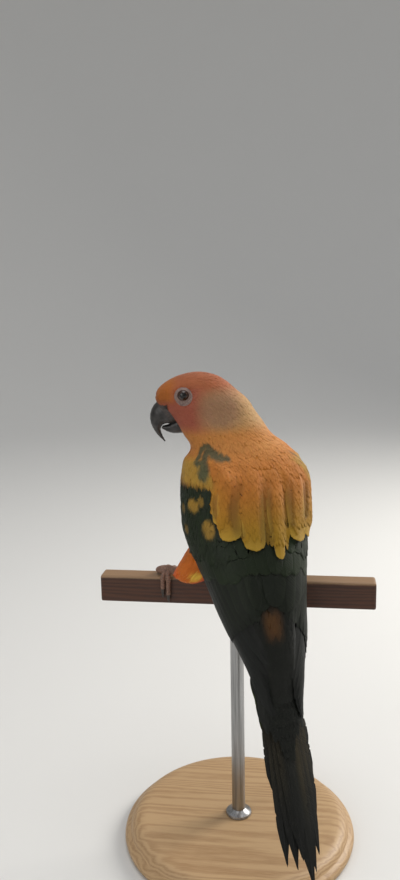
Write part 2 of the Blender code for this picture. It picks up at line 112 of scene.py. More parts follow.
# forward and up of the ridge, forward and up of the cutting edge, half width
UPPER_BILL = (
    (13.0, 6.0, 5.0, -6.8, 6.8),
    (16.0, 5.6, 8.0, -8.2, 7.3),
    (20.6, 3.6, 10.2, -9.6, 6.9),
    (24.3, 0.4, 13.6, -10.4, 6.1),
    (26.3, -4.4, 16.6, -10.2, 5.2),
    (26.2, -9.3, 19.4, -11.4, 4.1),
    (24.5, -13.8, 20.4, -14.3, 2.7),
    (21.9, -17.6, 19.3, -17.8, 1.5),
    (18.2, -21.3, 17.7, -20.9, 0.45),
)
LOWER_BILL = (
    (1.0, -14.4, 3.6, -6.0, 4.6),
    (4.0, -15.4, 6.0, -6.2, 5.0),
    (8.5, -16.2, 9.4, -7.2, 4.8),
    (13.0, -16.2, 12.8, -8.8, 4.2),
    (16.4, -15.2, 15.4, -10.7, 3.3),
    (19.9, -13.2, 19.3, -11.8, 1.8),
)

# x, y, height and radius
THIGHS = {
    "left": (
        (-5.0, -6.0, 28.0, 11.0), (-15.0, -8.5, 18.0, 10.5),
        (-23.5, -11.0, 9.5, 8.2), (-28.0, -11.8, 3.0, 4.6),
    ),
    "right": (
        (14.0, -1.0, 32.0, 12.0), (17.0, 3.0, 23.0, 10.5), (20.0, 5.5, 15.5, 7.2), (21.2, 5.0, 9.5, 4.4),
    ),
}
SHANKS = {
    "left": (
        (-25.0, -11.6, 5.6, 2.3), (-29.0, -10.5, 3.8, 2.4), (-35.0, -5.6, 3.8, 2.4), (-40.5, 0.0, 3.4, 2.5),
    ),
    "right": ((21.3, 5.2, 13.0, 2.3), (21.3, 4.6, 9.0, 2.4), (21.2, 2.5, 6.5, 2.5), (21.0, 0.0, 4.0, 2.6)),
}
FOOT_X = {"left": -40.5, "right": 21.0}
PAD = (5.6, 4.2, 2.4)  # half the size of the foot's ball
PAD_SHIFT = 1.6  # outwards
TOES = {1: (168.0, 16.0), 2: (-24.0, 15.5), 3: (26.0, 21.0), 4: (191.0, 19.0)}  # turn and length
TOE_RADIUS = 1.65
TOE_TIP_RADIUS = 1.25
CLAW_LENGTH = 5.0
GAP = 0.3


def unit(vectors):
    return vectors / np.maximum(np.linalg.norm(vectors, axis=-1, keepdims=True), 1e-12)


def ramp(value, low, high):
    """0 below low and 1 above high, and smooth between; low may be the larger."""
    share = np.clip((value - low) / (high - low), 0, 1)
    return share * share * (3 - 2 * share)


def read(table, values):
    """The value at places along a table of pairs."""
    return np.interp(values, *np.array(table).T)


def bulged(value, power):
    return np.copysign(np.abs(value) ** power, value)


def heading(turn):
    """Level unit vectors ahead and to the left of something that faces turn degrees left of +Y."""
    turn = np.radians(turn)
    level = np.zeros_like(turn)
    ahead = np.stack((-np.sin(turn), np.cos(turn), level), -1)
    return ahead, np.stack((-np.cos(turn), -np.sin(turn), level), -1)


AHEAD, LEFT = heading(np.float64(BODY_TURN))
FACING, HEAD_LEFT = heading(np.float64(HEAD_TURN))
UP = np.array((0.0, 0.0, 1.0))
SKULL = np.array((*HEAD_CENTRE, PERCH_TOP + HEAD_HEIGHT * MM))
BODY_SLOPE = math.radians(64.0)
TAILWARDS = -math.cos(BODY_SLOPE) * AHEAD - math.sin(BODY_SLOPE) * UP
OUT_OF_BACK = -math.sin(BODY_SLOPE) * AHEAD + math.cos(BODY_SLOPE) * UP


def body_rows():
    rows = []
    for height, forward, left, half, back, front in TRUNK:
        middle = np.array((*BODY_CENTRE, 0.0)) + MM * (forward * AHEAD + left * LEFT)
        rows.append((height, middle[0] / MM, middle[1] / MM, half, half, back, front, BODY_TURN))
    for height, bill, nape, half, nearer in HEAD:
        middle = (SKULL + MM * (bill - nape) / 2 * FACING) / MM
        reach = (bill + nape) / 2
        rows.append((height, middle[0], middle[1] - nearer, reach, reach, half, half, HEAD_TURN - 90.0))
    return np.array(rows)


def smooth_rows(rows, steps):
    """Rows between the given ones, on a Catmull-Rom curve through them."""
    rows = np.array(rows)
    last = len(rows) - 1
    place = np.linspace(0, last, last * steps + 1)
    index = np.minimum(place.astype(int), last - 1)
    t = (place - index)[:, None]
    a, b, c, d = (rows[np.clip(index + step, 0, last)] for step in (-1, 0, 1, 2))
    start = b * (2 * t**3 - 3 * t**2 + 1) + (c - a) / 2 * (t**3 - 2 * t**2 + t)
    return start + c * (3 * t**2 - 2 * t**3) + (d - b) / 2 * (t**3 - t**2)


BODY = smooth_rows(body_rows(), 40)


def section(height):
    """The body's level section: its middle, half widths left and right, depths back and front, and turn."""
    return [np.interp(height, BODY[:, 0], BODY[:, column]) for column in range(1, 8)]


def bare_surface(height, angle):
    x, y, left, right, back, front, turn = section(height)
    ahead, leftward = heading(turn)
    across = bulged(np.sin(np.radians(angle)), 2 / SECTION_POWER)
    along = bulged(-np.cos(np.radians(angle)), 2 / SECTION_POWER)
    across = across * np.where(across > 0, left, right)
    along = along * np.where(along > 0, front, back)
    points = np.stack((x, y, height + PERCH_TOP / MM), -1)
    return MM * (points + across[..., None] * leftward + along[..., None] * ahead)


def surface_normal(height, angle):
    up = bare_surface(height + 0.4, angle) - bare_surface(height - 0.4, angle)
    around = bare_surface(height, angle + 1.5) - bare_surface(height, angle - 1.5)
    return unit(np.cross(up, around))


def body_surface(height, angle, lift=0.0):
    """Points over the body's smooth outside, in metres; lift is in millimetres."""
    height, angle, lift = np.broadcast_arrays(*[np.asarray(x, float) for x in (height, angle, lift)])
    return bare_surface(height, angle) + MM * lift[..., None] * surface_normal(height, angle)


def body_place(points):
    """The height and the angle of points near the body."""
    height = (points[..., 2] - PERCH_TOP) / MM
    x, y, left, right, back, front, turn = section(height)
    ahead, leftward = heading(turn)
    offset = points / MM - np.stack((x, y, height), -1)
    offset[..., 2] = 0
    across = (offset * leftward).sum(-1)
    along = (offset * ahead).sum(-1)
    across = bulged(across / np.where(across > 0, left, right), SECTION_POWER / 2)
    along = bulged(along / np.where(along > 0, front, back), SECTION_POWER / 2)
    return height, np.degrees(np.arctan2(across, -along))


def head_place(points):
    """Forward, up and to the left of the middle of the skull, in millimetres."""
    offset = (points - SKULL) / MM
    return offset @ FACING, offset @ UP, offset @ HEAD_LEFT


def head_point(forward, up, left):
    places = zip((forward, up, left), (FACING, UP, HEAD_LEFT))
    return SKULL + MM * sum(np.multiply.outer(far, way) for far, way in places)


def perch_point(x, y, height):
    return np.array((x * MM, y * MM, PERCH_TOP + height * MM))


# ---------------------------------------------------------------- colours and markings
def linear(code):
    """An sRGB hex colour as linear red, green and blue."""
    values = np.array([int(code[i : i + 2], 16) for i in (1, 3, 5)]) / 255
    return np.where(values <= 0.04045, values / 12.92, ((values + 0.055) / 1.055) ** 2.4)


PLUMAGE = {
    "forehead": "#A65E22", "face": "#9C5440", "crown": "#A05A36", "ear": "#947058", "nape": "#B48C5A",
    "neck": "#BC7C3C", "throat": "#B8742E", "streak": "#3E4630", "cere": "#3A3330",
    # the saddle tip's gold is the lobes' own hue, darkened as painted shade for the lower lobes that face
    # down
    "mantle": "#AE6A24", "saddle tip": "#946F12", "saddle side": "#AC7B16", "saddle edge": "#C4A23C",
    "breast": "#D8781E", "belly": "#C4501E", "vent": "#8A8A2A", "thigh": "#C0641A", "thigh tip": "#E6BC46",
    "rump": "#4E3214", "over tail": "#0A0D06", "under tail": "#56632A",
    "shoulder yellow": "#A27C2C", "covert": "#0F1905", "covert edge": "#1D2E0B",
    "secondary": "#0A1104", "secondary edge": "#141C0C", "primary": "#070A06", "primary edge": "#0C1412",
    "tail": "#0E0F09", "tail edge": "#302814", "tail tip": "#070805",
}
PLUMAGE = {name: linear(code) for name, code in PLUMAGE.items()}


def mix(first, second, share):
    share = np.asarray(share)[..., None]
    return first * (1 - share) + second * share


def layered(colour, *layers):
    """A colour with others of the plumage over it, each with its share of the surface."""
    for name, share in layers:
        colour = mix(colour, PLUMAGE[name], share)
    return colour


ROUND_SIDE = 0.45  # millimetres for a degree, round the shoulders and wings
# strokes of dark green on the sides of the neck and shoulders: a width, then pairs of height and angle
STREAKS = (
    (2.0, ((69.3, 60.6), (71.7, 56.9), (75.1, 46.8), (77.7, 35.3), (77.6, 30.1))),
    (2.8, ((77.2, 30.1), (75.6, 33.0), (73.1, 39.2), (70.7, 46.8))),
    (1.5, ((69.3, 60.6), (70.1, 46.8))),
    (2.7, ((76.1, 30.2), (74.6, 26.6), (73.3, 21.8))),
    (1.8, ((73.3, 21.8), (72.3, 16.2))),
    (3.6, ((70.9, 44.9), (69.0, 46.7), (66.5, 52.7), (64.0, 59.0))),
    (1.8, ((72.5, -62.0), (68.0, -68.0), (64.0, -72.0))),
)


def near_strokes(height, angle, strokes):
    """How near places are to lines drawn on the body: 1 on a line, 0 at its width in millimetres."""
    near = np.zeros(np.shape(height))
    blotch = 0.35 * np.sin(height * 2.3 + angle * 0.9) * np.sin(height * 1.1 - angle * 0.55)
    for width, stroke in strokes:
        for (h0, a0), (h1, a1) in zip(stroke, stroke[1:]):
            dx, dy = (a1 - a0) * ROUND_SIDE, h1 - h0
            x, y = (angle - a0) * ROUND_SIDE, height - h0
            share = np.clip((x * dx + y * dy) / (dx * dx + dy * dy), 0, 1)
            distance = np.hypot(x - share * dx, y - share * dy)
            near = np.maximum(near, 1 - ramp(distance + blotch, width * 0.35, width))
    return near


def streaked(colour, height, angle):
    """Colours with the dark strokes of the neck and shoulders over them."""
    return layered(colour, ("streak", 0.9 * near_strokes(height, angle, STREAKS)))


# where the face's feathers stop at the side of the bill: up, and forward, from the middle of the skull
BILL_BASE = ((-16.0, 8.4), (-14.7, 7.9), (-11.0, 9.2), (-6.5, 11.9), (-2.9, 14.9), (1.4, 15.8), (1.8, 40.0))


def past_bill_base(forward, up):
    """How far places lie in front of the feathered face, in millimetres."""
    return np.where((up > -16.0) & (up < 1.8), forward - read(BILL_BASE, up), -9.0)


# the saddle's lobes: height and angle of each lowest tip, half its width, and how pointed it is
SADDLE_LOBES = (
    (34.5, -62.0, 4.2, 0.2),
    (29.9, -50.4, 4.6, 0.2),
    (40.5, 42.0, 4.4, 0.2),
    (29.1, -32.8, 5.6, 0.12),
    (22.5, -9.6, 5.6, 0.5),
    (32.7, 32.4, 6.4, 0.1),
    (27.7, 10.4, 6.6, 0.1),
)
# the grooves between them, as strokes
GROOVES = (
    (3.0, ((66.0, 19.0), (54.0, 25.0), (47.0, 26.5), (37.0, 22.0))),
    (3.0, ((65.0, -1.0), (43.5, -0.1), (32.0, 0.4))),
    (2.8, ((63.0, -22.0), (40.0, -22.0))),
    (2.4, ((58.0, -42.0), (42.0, -41.6))),
    (1.8, ((56.0, 43.0), (46.0, 43.5))),
)


def in_grooves(height, angle):
    """1 in the middle of a groove between lobes; the grooves fade out towards the mantle."""
    return near_strokes(height, angle, GROOVES) * ramp(height, 67, 51)


def saddle_gold(height, angle):
    """The orange of the mantle, which turns to gold down the saddle; the lower lobes' gold is darker as
    painted shade, and darker again with painted shade in the grooves between its lobes.
    """
    # painted shade: the gold grows darker down the saddle, towards the lower lobes that face down
    gold = layered(
        PLUMAGE["saddle tip"],
        ("mantle", ramp(height, 34, 62)),
        ("saddle side", ramp(np.abs(angle + 6), 30, 55) * ramp(height, 68, 56) * 0.6),
    )
    # painted shade: the grooves between the lobes are darkened
    return gold * (1 - 0.42 * in_grooves(height, angle))[..., None]


def marking(points):
    """The colour of skin and contour feathers at places on the body."""
    height, angle = body_place(points)
    forward, up, left = head_place(points)
    side = np.abs(angle)
    glow = ramp(np.abs(angle - 5), 15, 3) * ramp(height, 2, -5) * ramp(height, -18, -10)
    shoulder = ramp(side, 42, 50) * ramp(side, 128, 112)
    colour = layered(
        saddle_gold(height, angle),
        ("breast", ramp(side, 60, 105)),
        ("belly", ramp(side, 110, 160) * ramp(height, 42, 18) * ramp(height, -20, 0)),
        ("rump", ramp(height, 12, 2) * ramp(side, 90, 50)),
        ("vent", ramp(height, -12, -26) * ramp(side, 60, 110)),
        ("over tail", ramp(height, 6, 2) * (1 - glow) * ramp(side, 110, 60)),
        ("under tail", ramp(height, -34, -48) * ramp(side, 60, 110)),
        # the bend of each wing is yellow above and green below
        ("shoulder yellow", shoulder * ramp(height, 74, 69) * ramp(height, 56, 61)),
        ("covert", ramp(side, 50, 56) * ramp(side, 128, 118) * ramp(height, 61, 57)),
        ("neck", ramp(height, 68, 78) * ramp(side, 120, 80)),
        ("throat", ramp(height, 64, 76) * ramp(side, 80, 120)),
    )
    # the head is painted in its own directions
    face = layered(
        PLUMAGE["nape"],
        ("crown", ramp(up, 3, 14)),
        ("neck", ramp(up, -6, -18)),
        ("face", ramp(forward, -14, 2) * ramp(up, -22, -12)),
        ("crown", ramp(up, 9, 14) * ramp(forward, -24, -12)),
        ("ear", ramp(np.hypot(forward + 15, (up + 1) * 1.1), 17, 6) * 0.75),
        ("forehead", ramp(forward, 8, 15) * ramp(up, 0, 6)),
        ("throat", ramp(up, -12, -18) * 0.6),
    )
    colour = mix(colour, face, ramp(height, 78, 90))
    out, down = leg_place(points)
    inner = ramp(np.abs(points[..., 0]) / MM, 26.0, 22.5)
    leg = layered(PLUMAGE["thigh"], ("thigh tip", ramp(down, 0.62, 0.85) * inner))
    colour = mix(colour, leg, ramp(out, 1.2, 1.05))
    bill_side = ramp(past_bill_base(forward, up), -0.4, 0.4) * ramp(np.abs(left), 12, 10)
    return streaked(layered(colour, ("cere", bill_side)), height, angle)


# ---------------------------------------------------------------- small helpers in Blender
def select(*items):
    """Selects these objects and no others, the first of them active."""
    for item in bpy.context.selected_objects:
        item.select_set(False)
    for item in items:
        item.select_set(True)
    bpy.context.view_layer.objects.active = items[0]


def put(name, data):
    item = bpy.data.objects.new(name, data)
    bpy.context.scene.collection.objects.link(item)
    return item


def fuse(items):
    """Joins objects into the first of them."""
    select(*items)
    bpy.ops.object.join()
    return items[0]


def taken(item):
    """An object's mesh, without the object."""
    mesh = item.data
    bpy.data.objects.remove(item)
    return mesh


def apply_modifier(item, kind, **settings):
    select(item)
    step = item.modifiers.new(kind.lower(), kind)
    for name, value in settings.items():
        setattr(step, name, value)
    bpy.ops.object.modifier_apply(modifier=step.name)


def remesh(item, voxel, smoothing):
    apply_modifier(item, "REMESH", mode="VOXEL", voxel_size=voxel)
    apply_modifier(item, "SMOOTH", factor=0.5, iterations=smoothing)


def triples(table, key):
    values = np.empty(len(table) * 3)
    table.foreach_get(key, values)
    return values.reshape(-1, 3)


def get_points(mesh):
    return triples(mesh.vertices, "co")


def get_normals(mesh):
    return triples(mesh.vertex_normals, "vector")


def set_points(mesh, points):
    mesh.vertices.foreach_set("co", points.astype(np.float32).ravel())
    mesh.update()


def paint(mesh, colours):
    """Stores a colour for each point of a mesh, for its material to read."""
    layer = mesh.color_attributes.new("colour", "FLOAT_COLOR", "POINT")
    rgba = np.ones((len(mesh.vertices), 4), np.float32)
    rgba[:, :3] = np.clip(colours.reshape(-1, 3), 0, 1)
    layer.data.foreach_set("color", rgba.ravel())


def add_map(mesh, name, places):
    """A UV map from a place for each point."""
    corners = np.empty(len(mesh.loops), np.int32)
    mesh.loops.foreach_get("vertex_index", corners)
    layer = mesh.uv_layers.new(name=name)
    layer.uv.foreach_set("vector", places.reshape(-1, 2)[corners].astype(np.float32).ravel())


def build_mesh(name, points, faces):
    """A mesh from its points and from lists of faces, where each list has one number of corners."""
    mesh = bpy.data.meshes.new(name)
    points = points.reshape(-1, 3)
    corners = np.concatenate([group.ravel() for group in faces])
    sizes = np.concatenate([np.full(len(group), group.shape[1]) for group in faces])
    starts = np.concatenate(([0], np.cumsum(sizes)[:-1]))
    mesh.vertices.add(len(points))
    mesh.vertices.foreach_set("co", points.astype(np.float32).ravel())
    mesh.loops.add(len(corners))
    mesh.loops.foreach_set("vertex_index", corners.astype(np.int32))
    mesh.polygons.add(len(sizes))
    mesh.polygons.foreach_set("loop_start", starts.astype(np.int32))
    mesh.update(calc_edges=True)
    mesh.validate()
    mesh.shade_smooth()
    mesh.set_sharp_from_angle(angle=math.radians(50))
    return mesh


def face_outwards(mesh, nearest=1e-7):
    """Merges doubled points and turns a closed mesh's faces outwards."""
    work = bmesh.new()
    work.from_mesh(mesh)
    bmesh.ops.remove_doubles(work, verts=work.verts, dist=nearest)
    bmesh.ops.recalc_face_normals(work, faces=work.faces)
    work.to_mesh(mesh)
    work.free()
    mesh.shade_smooth()


def ringed(name, points):
    """A closed tube from its rings of points, (ring, place, axis), with a face over each end."""
    rings, sides = points.shape[:2]
    grid = np.arange(rings * sides).reshape(rings, sides)
    after = np.roll(grid, -1, 1)
    walls = np.stack((grid[:-1], after[:-1], after[1:], grid[1:]), -1).reshape(-1, 4)
    mesh = build_mesh(name, points, (walls, np.stack((grid[0, ::-1], grid[-1]))))
    face_outwards(mesh)
    return mesh


def closed_sheet(name, outer, inner):
    """A shell between two grids of points of one size, closed round its edges."""
    rows, columns = outer.shape[:2]
    grid = np.arange(rows * columns).reshape(rows, columns)
    face = np.stack((grid[:-1, :-1], grid[:-1, 1:], grid[1:, 1:], grid[1:, :-1]), -1).reshape(-1, 4)
    rim = np.concatenate((grid[0, :-1], grid[:-1, -1], grid[-1, :0:-1], grid[:0:-1, 0]))
    following = np.roll(rim, -1)
    shift = rows * columns
    sides = np.stack((rim, rim + shift, following + shift, following), -1)
    points = np.concatenate((outer.reshape(-1, 3), inner.reshape(-1, 3)))
    mesh = build_mesh(name, points, (np.concatenate((face, face[:, ::-1] + shift, sides)),))
    face_outwards(mesh)
    return mesh


def show(name, mesh, finish, slot, nodes=()):
    """A finished piece of the model."""
    item = put(name, mesh)
    mesh.materials.clear()
    mesh.materials.append(FINISH[finish])
    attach(item, "root")
    if nodes:
        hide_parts(*nodes)
    return item


# ---------------------------------------------------------------- materials
def add_node(tree, kind, settings, *links, out=0):
    """An output of a new shader node, or all of them where out is None.

    Settings are its properties and unlinked sockets, and a colour ramp's tones as pairs of a place and
    a colour; links are pairs of a socket and its source.
    """
    node = tree.nodes.new("ShaderNode" + kind)
    for name, value in settings.items():
        if name == "tones":
            for stop, (place, code) in zip(node.color_ramp.elements, value):
                stop.position, stop.color = place, colour_value(code)
        elif isinstance(name, int) or name in node.inputs:
            node.inputs[name].default_value = value
        else:
            setattr(node, name, value)
    for name, source in links:
        tree.links.new(source, node.inputs[name])
    return node.outputs if out is None else node.outputs[out]


def new_material(name, roughness, **sockets):
    """A material and its node tree; sockets are the shader's own, with _ for a space."""
    finish = bpy.data.materials.new(name)
    finish.use_nodes = True
    shader = finish.node_tree.nodes["Principled BSDF"]
    shader.inputs["Roughness"].default_value = roughness
    for socket, value in sockets.items():
        shader.inputs[socket.replace("_", " ")].default_value = value
    return finish, finish.node_tree


def dress(tree, colour, height, relief, depth):
    """Gives a material its colour, and a relief from a pattern; its depth is in metres."""
    bump = add_node(tree, "Bump", {"Strength": relief, "Distance": depth}, ("Height", height))
    shader = tree.nodes["Principled BSDF"]
    tree.links.new(colour, shader.inputs["Base Color"])
    tree.links.new(bump, shader.inputs["Normal"])


def shaded(tree, pattern, limits):
    """The mesh's stored colour under a pattern's light: limits are the pattern's two and the light's two."""
    colour = add_node(tree, "Attribute", {"attribute_name": "colour"})
    limits = dict(zip(("From Min", "From Max", "To Min", "To Max"), limits))
    depth = add_node(tree, "MapRange", limits, ("Value", pattern))
    return add_node(tree, "VectorMath", {"operation": "SCALE"}, (0, colour), ("Scale", depth))


def colour_value(code):
    return (*linear(code), 1.0)


def feather_vane(name, barb, roughness, streak, relief, sheen):
    """Keratin barbs lying side by side: soft, faintly glossy, streaked out from the shaft."""
    gloss = {"IOR": 1.54, "Specular_IOR_Level": 0.25, "Sheen_Weight": sheen, "Sheen_Roughness": 0.45}
    finish, tree = new_material(name, roughness, **gloss)
    # the vane map is in centimetres, across the feather and along it; barb is in millimetres
    vane = add_node(tree, "UVMap", {"uv_map": "vane"})
    axes = add_node(tree, "SeparateXYZ", {}, (0, vane), out=None)
    out = add_node(tree, "Math", {"operation": "ABSOLUTE"}, (0, axes[0]))
    slant = add_node(tree, "Math", {"operation": "MULTIPLY_ADD", 1: -0.9}, (0, out), (2, axes[1]))
    lines = add_node(tree, "CombineXYZ", {}, (0, slant), (1, out))
    drawn_out = add_node(tree, "VectorMath", {"operation": "MULTIPLY", 1: (10 / barb, 0.9, 1.0)}, (0, lines))
    barbs = add_node(tree, "TexNoise", {"Scale": 1.0, "Detail": 2.0, "Roughness": 0.6}, (0, drawn_out))
    place = add_node(tree, "TexCoord", {}, out="Object")
    patches = add_node(tree, "TexNoise", {"Scale": 160.0, "Detail": 3.0, "Roughness": 0.6}, (0, place))
    both = add_node(tree, "Math", {"operation": "MULTIPLY_ADD", 1: 0.5}, (0, patches), (2, barbs))
    dress(tree, shaded(tree, both, (0.45, 1.05, 1 - streak, 1 + streak)), barbs, relief, 0.0004)
    return finish


def down_skin():
    """Skin under the coat, with the down's matt surface in the colours of the feathers over it."""
    finish, tree = new_material("downy_skin", 0.9, Specular_IOR_Level=0.15)
    place = add_node(tree, "TexCoord", {}, out="Object")
    fluff = add_node(tree, "TexNoise", {"Scale": 900.0, "Detail": 4.0, "Roughness": 0.7}, (0, place))
    dress(tree, shaded(tree, fluff, (0.3, 0.7, 0.7, 1.0)), fluff, 0.5, 0.0006)
    return finish


def patterned(name, tones, scale, roughness, relief, kind="TexNoise", stretch=(1, 1, 1), **sockets):
    """Two tones in a stretched grain, with the grain's relief; scale is in grains to a metre."""
    finish, tree = new_material(name, roughness, **sockets)
    place = add_node(tree, "TexCoord", {}, out="Object")
    place = add_node(tree, "VectorMath", {"operation": "MULTIPLY", 1: stretch}, (0, place))
    grain = add_node(tree, kind, {"Scale": scale}, ("Vector", place))
    spread = (0.35, 0.65) if kind == "TexNoise" else (0.0, 0.75)
    colour = add_node(tree, "ValToRGB", {"tones": zip(spread, tones)}, ("Fac", grain))
    dress(tree, colour, grain, relief, 0.0003)
    return finish


def glass_eye():
    """A dark brown iris round a black pupil, under a wet clear cornea."""
    finish, tree = new_material("glossy_eye", 0.2, IOR=1.38, Coat_Weight=0.45, Coat_Roughness=0.03)
    colour = add_node(tree, "Attribute", {"attribute_name": "colour"})
    tree.links.new(colour, tree.nodes["Principled BSDF"].inputs["Base Color"])
    return finish


def varnished_beech(name, pale, brown, dark, lit_top_height=None):
    """Sawn wood with growth rings along X, pores drawn out along the grain and a satin varnish; a painted
    highlight pales the top where a height is given.
    """
    finish, tree = new_material(name, 0.48, IOR=1.5)
    place = add_node(tree, "TexCoord", {}, out="Object")
    drawn_out = add_node(tree, "VectorMath", {"operation": "MULTIPLY", 1: (0.06, 1.0, 1.0)}, (0, place))
    waver = add_node(tree, "TexNoise", {"Scale": 60.0, "Detail": 2.0}, ("Vector", drawn_out), out="Color")
    sway = {"operation": "MULTIPLY_ADD", 1: (0.012, 0.012, 0.012)}
    moved = add_node(tree, "VectorMath", sway, (0, waver), (2, drawn_out))
    centred = add_node(tree, "VectorMath", {"operation": "ADD", 1: (0.0, 0.024, -0.118)}, (0, moved))
    # growth rings 1.8 mm apart: the wave repeats every 0.314 / scale metres
    wave = {"wave_type": "RINGS", "rings_direction": "X", "Scale": 174.0, "Distortion": 1.5, "Detail": 2.0}
    rings = add_node(tree, "TexWave", wave, ("Vector", centred), out="Fac")
    pores = add_node(tree, "TexNoise", {"Scale": 1800.0, "Detail": 3.0}, ("Vector", drawn_out))
    both = add_node(tree, "Math", {"operation": "MULTIPLY_ADD", 1: 0.55}, (0, rings), (2, pores))
    colour = add_node(tree, "ValToRGB", {"tones": ((0.38, dark), (0.98, brown))}, ("Fac", both))
    if lit_top_height is not None:
        # painted highlight: the top edges are paler, as light from above falls on them, in a band broken up
        # by noise
        axes = add_node(tree, "SeparateXYZ", {}, (0, place), out=None)
        highlight_breakup = add_node(tree, "TexNoise", {"Scale": 130.0, "Detail": 5.0, "Roughness": 0.7}, (0, place))
        top = add_node(tree, "Math", {"operation": "MULTIPLY_ADD", 1: 0.0012}, (0, highlight_breakup), (2, axes[2]))
        limits = {"From Min": lit_top_height, "From Max": lit_top_height + 0.0008, "To Min": 0.0, "To Max": 0.75}
        share = add_node(tree, "MapRange", limits, ("Value", top))
        # the pale tone of the painted highlight on the top
        bare = {"data_type": "RGBA", 7: colour_value(pale)}
        colour = add_node(tree, "Mix", bare, (0, share), (6, colour), out=2)
    dress(tree, colour, both, 0.35, 0.0002)
    return finish


FINISH = {
    "skin": down_skin(),
    # small loose feathers: dull and downy, with hardly a line to be seen in them
    "contour": feather_vane("soft_contour_feather", 0.5, 0.72, 0.15, 0.3, 0.12),
    # long silky feathers, a little smoother than the small ones
    "saddle": feather_vane("silky_saddle_feather", 0.6, 0.62, 0.14, 0.35, 0.1),
    # stiff tight vanes with a low gloss and clear lines of barbs
    "wing": feather_vane("stiff_wing_feather", 0.7, 0.55, 0.22, 0.5, 0.02),
    # dry skin in fine wrinkles, grey with a faint flush
    "bare": patterned("bare_wrinkled_skin", ("#6E5851", "#8C766D"), 1400.0, 0.55, 0.5),
    # the same skin, darker and duller, over the base of the bill
    "cere": patterned("grey_cere_skin", ("#352F2D", "#4C4441"), 1200.0, 0.6, 0.4),
    # horn worn to a satin black, greyer where its layers are scuffed
    "bill": patterned("black_bill_horn", ("#1A1817", "#3A3736"), 260.0, 0.36, 0.35),
    # leathery scales, each dark at its middle and pale at its rim
    "foot": patterned("scaly_foot_skin", ("#4A342A", "#866452"), 1300.0, 0.5, 0.8, "TexVoronoi"),
    # polished by use, nearly black, with a brown cast
    "claw": patterned("dark_claw_horn", ("#17120F", "#40352E"), 700.0, 0.32, 0.3),
    "eye": glass_eye(),
    # dark stained wood, with a painted highlight: a pale band along the top, where the light falls
    "perch": varnished_beech("varnished_beech_painted_top_light", "#9C7D5C", "#4E2B16", "#341A0B", PERCH_TOP - 0.0010),
    # pale wood with a soft sheen of oil, in which the growth rings show
    "base": varnished_beech("oiled_pale_beech", "#C9AE8A", "#B89870", "#A07E58"),
    # steel brushed along its length, which draws its highlights out into streaks
    "steel": patterned(
        "brushed_steel", ("#8C8C8C", "#A8A8A8"), 900.0, 0.32, 0.15, stretch=(1, 1, 0.03), Metallic=1.0
    ),
}


# ---------------------------------------------------------------- the skin
SKIN_GROWTH = 0.0005
SKIN_VOXEL = 0.0011
# half the face's width by how far forward it is, beside the bill and over it
FACE_TAPER = ((9.0, 13.6), (12.0, 10.8), (15.0, 7.9), (17.0, 6.5), (19.5, 4.6))
BROW_TAPER = ((9.0, 14.2), (12.0, 12.6), (15.0, 10.6), (18.0, 8.5), (21.5, 5.8), (23.0, 4.0))
WING_PAD = 2.2  # thickness of the folded wings' flesh over the trunk, under their feathers
WING_SIDE_PAD = 1.7  # how much thicker it is on the bird's sides
RUMP_PAD = 1.0  # the down under the feathers over the tail
RUMP_MOUND = 1.6  # how much more of it there is between the wings' tips
THIGH_MIDDLE = -25.0  # x of the left thigh, which loose feathers widen at its lower end
THIGH_SPREAD = 0.75
THIGH_DROP = 2.2
SOCKET_FLOOR = 2.9  # how far out the skin round an eye comes, and how much less it does under the lids
SOCKET_DEPTH = 1.8


def flesh_copy(nodes):
    """The fleshy solids as one closed mesh, grown until they meet."""
    copies = []
    for name in nodes:
        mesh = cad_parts[name].data.copy()
        work = bmesh.new()
        work.from_mesh(mesh)
        bmesh.ops.remove_doubles(work, verts=work.verts, dist=1e-6)
        work.normal_update()
        for corner, place in [(corner, corner.co + corner.normal * SKIN_GROWTH) for corner in work.verts]:
            corner.co = place
        work.to_mesh(mesh)
        work.free()
        copies.append(put("flesh_" + name, mesh))
    return fuse(copies)


def leg_place(points):
    """How far out places lie round the nearer thigh, in its radii, and how far down it as a share."""
    nearest, down = np.full(points.shape[:-1], 9.0), np.zeros(points.shape[:-1])
    height = (points[..., 2] - PERCH_TOP) / MM
    for rows in THIGHS.values():
        top, bottom = rows[1][2], rows[-1][2]
        for (*upper, r0), (*lower, r1) in zip(rows[1:], rows[2:]):
            start, end = perch_point(*upper), perch_point(*lower)
            way = end - start
            share = (points - start) @ way / (way @ way)
            inside = np.clip(share, 0, 1)
            reach = np.linalg.norm(points - start - inside[..., None] * way, axis=-1) / MM
            reach = reach / (r0 + (r1 - r0) * inside)
            closer = (reach < nearest) & (share > 0) & (reach < 1.25)
            nearest = np.where(closer, reach, nearest)
            down = np.where(closer, np.clip((top - height) / (top - bottom), 0, 1), down)
    return nearest, down


def coat_size(points):
    """Length of the contour feathers at places on the body, in millimetres."""
    height, angle = body_place(points)
    forward, up, left = head_place(points)
    from_bill = np.sqrt((forward - 15) ** 2 + (up + 4) ** 2 + (0.6 * left) ** 2)
    length = 2.2 + 1.2 * ramp(from_bill, 8, 18) + 2.4 * ramp(from_bill, 20, 38)
    length = length + 1.2 * ramp(height, 88, 74) + 0.8 * ramp(height, 74, 58)
    length = length + 2.2 * ramp(height, -5, -30)
    return length - 1.4 * (leg_place(points)[0] < 1.2)


def coat_depth(points):
    return 0.22 + 0.035 * coat_size(points)


def eye_axis(side):
    """The middle of an eye and the way it looks, out of the head."""
    forward, up, out = EYE_PLACE
    sign = 1.0 if side == "left" else -1.0
    return head_point(forward, up, sign * out), sign * HEAD_LEFT


def from_eye(points, side):
    """How far out along the eye's axis and how far from that axis points are, in millimetres."""
    centre, out = eye_axis(side)
    offset = (points - centre) / MM
    along = offset @ out
    return along, np.linalg.norm(offset - along[..., None] * out, axis=-1)


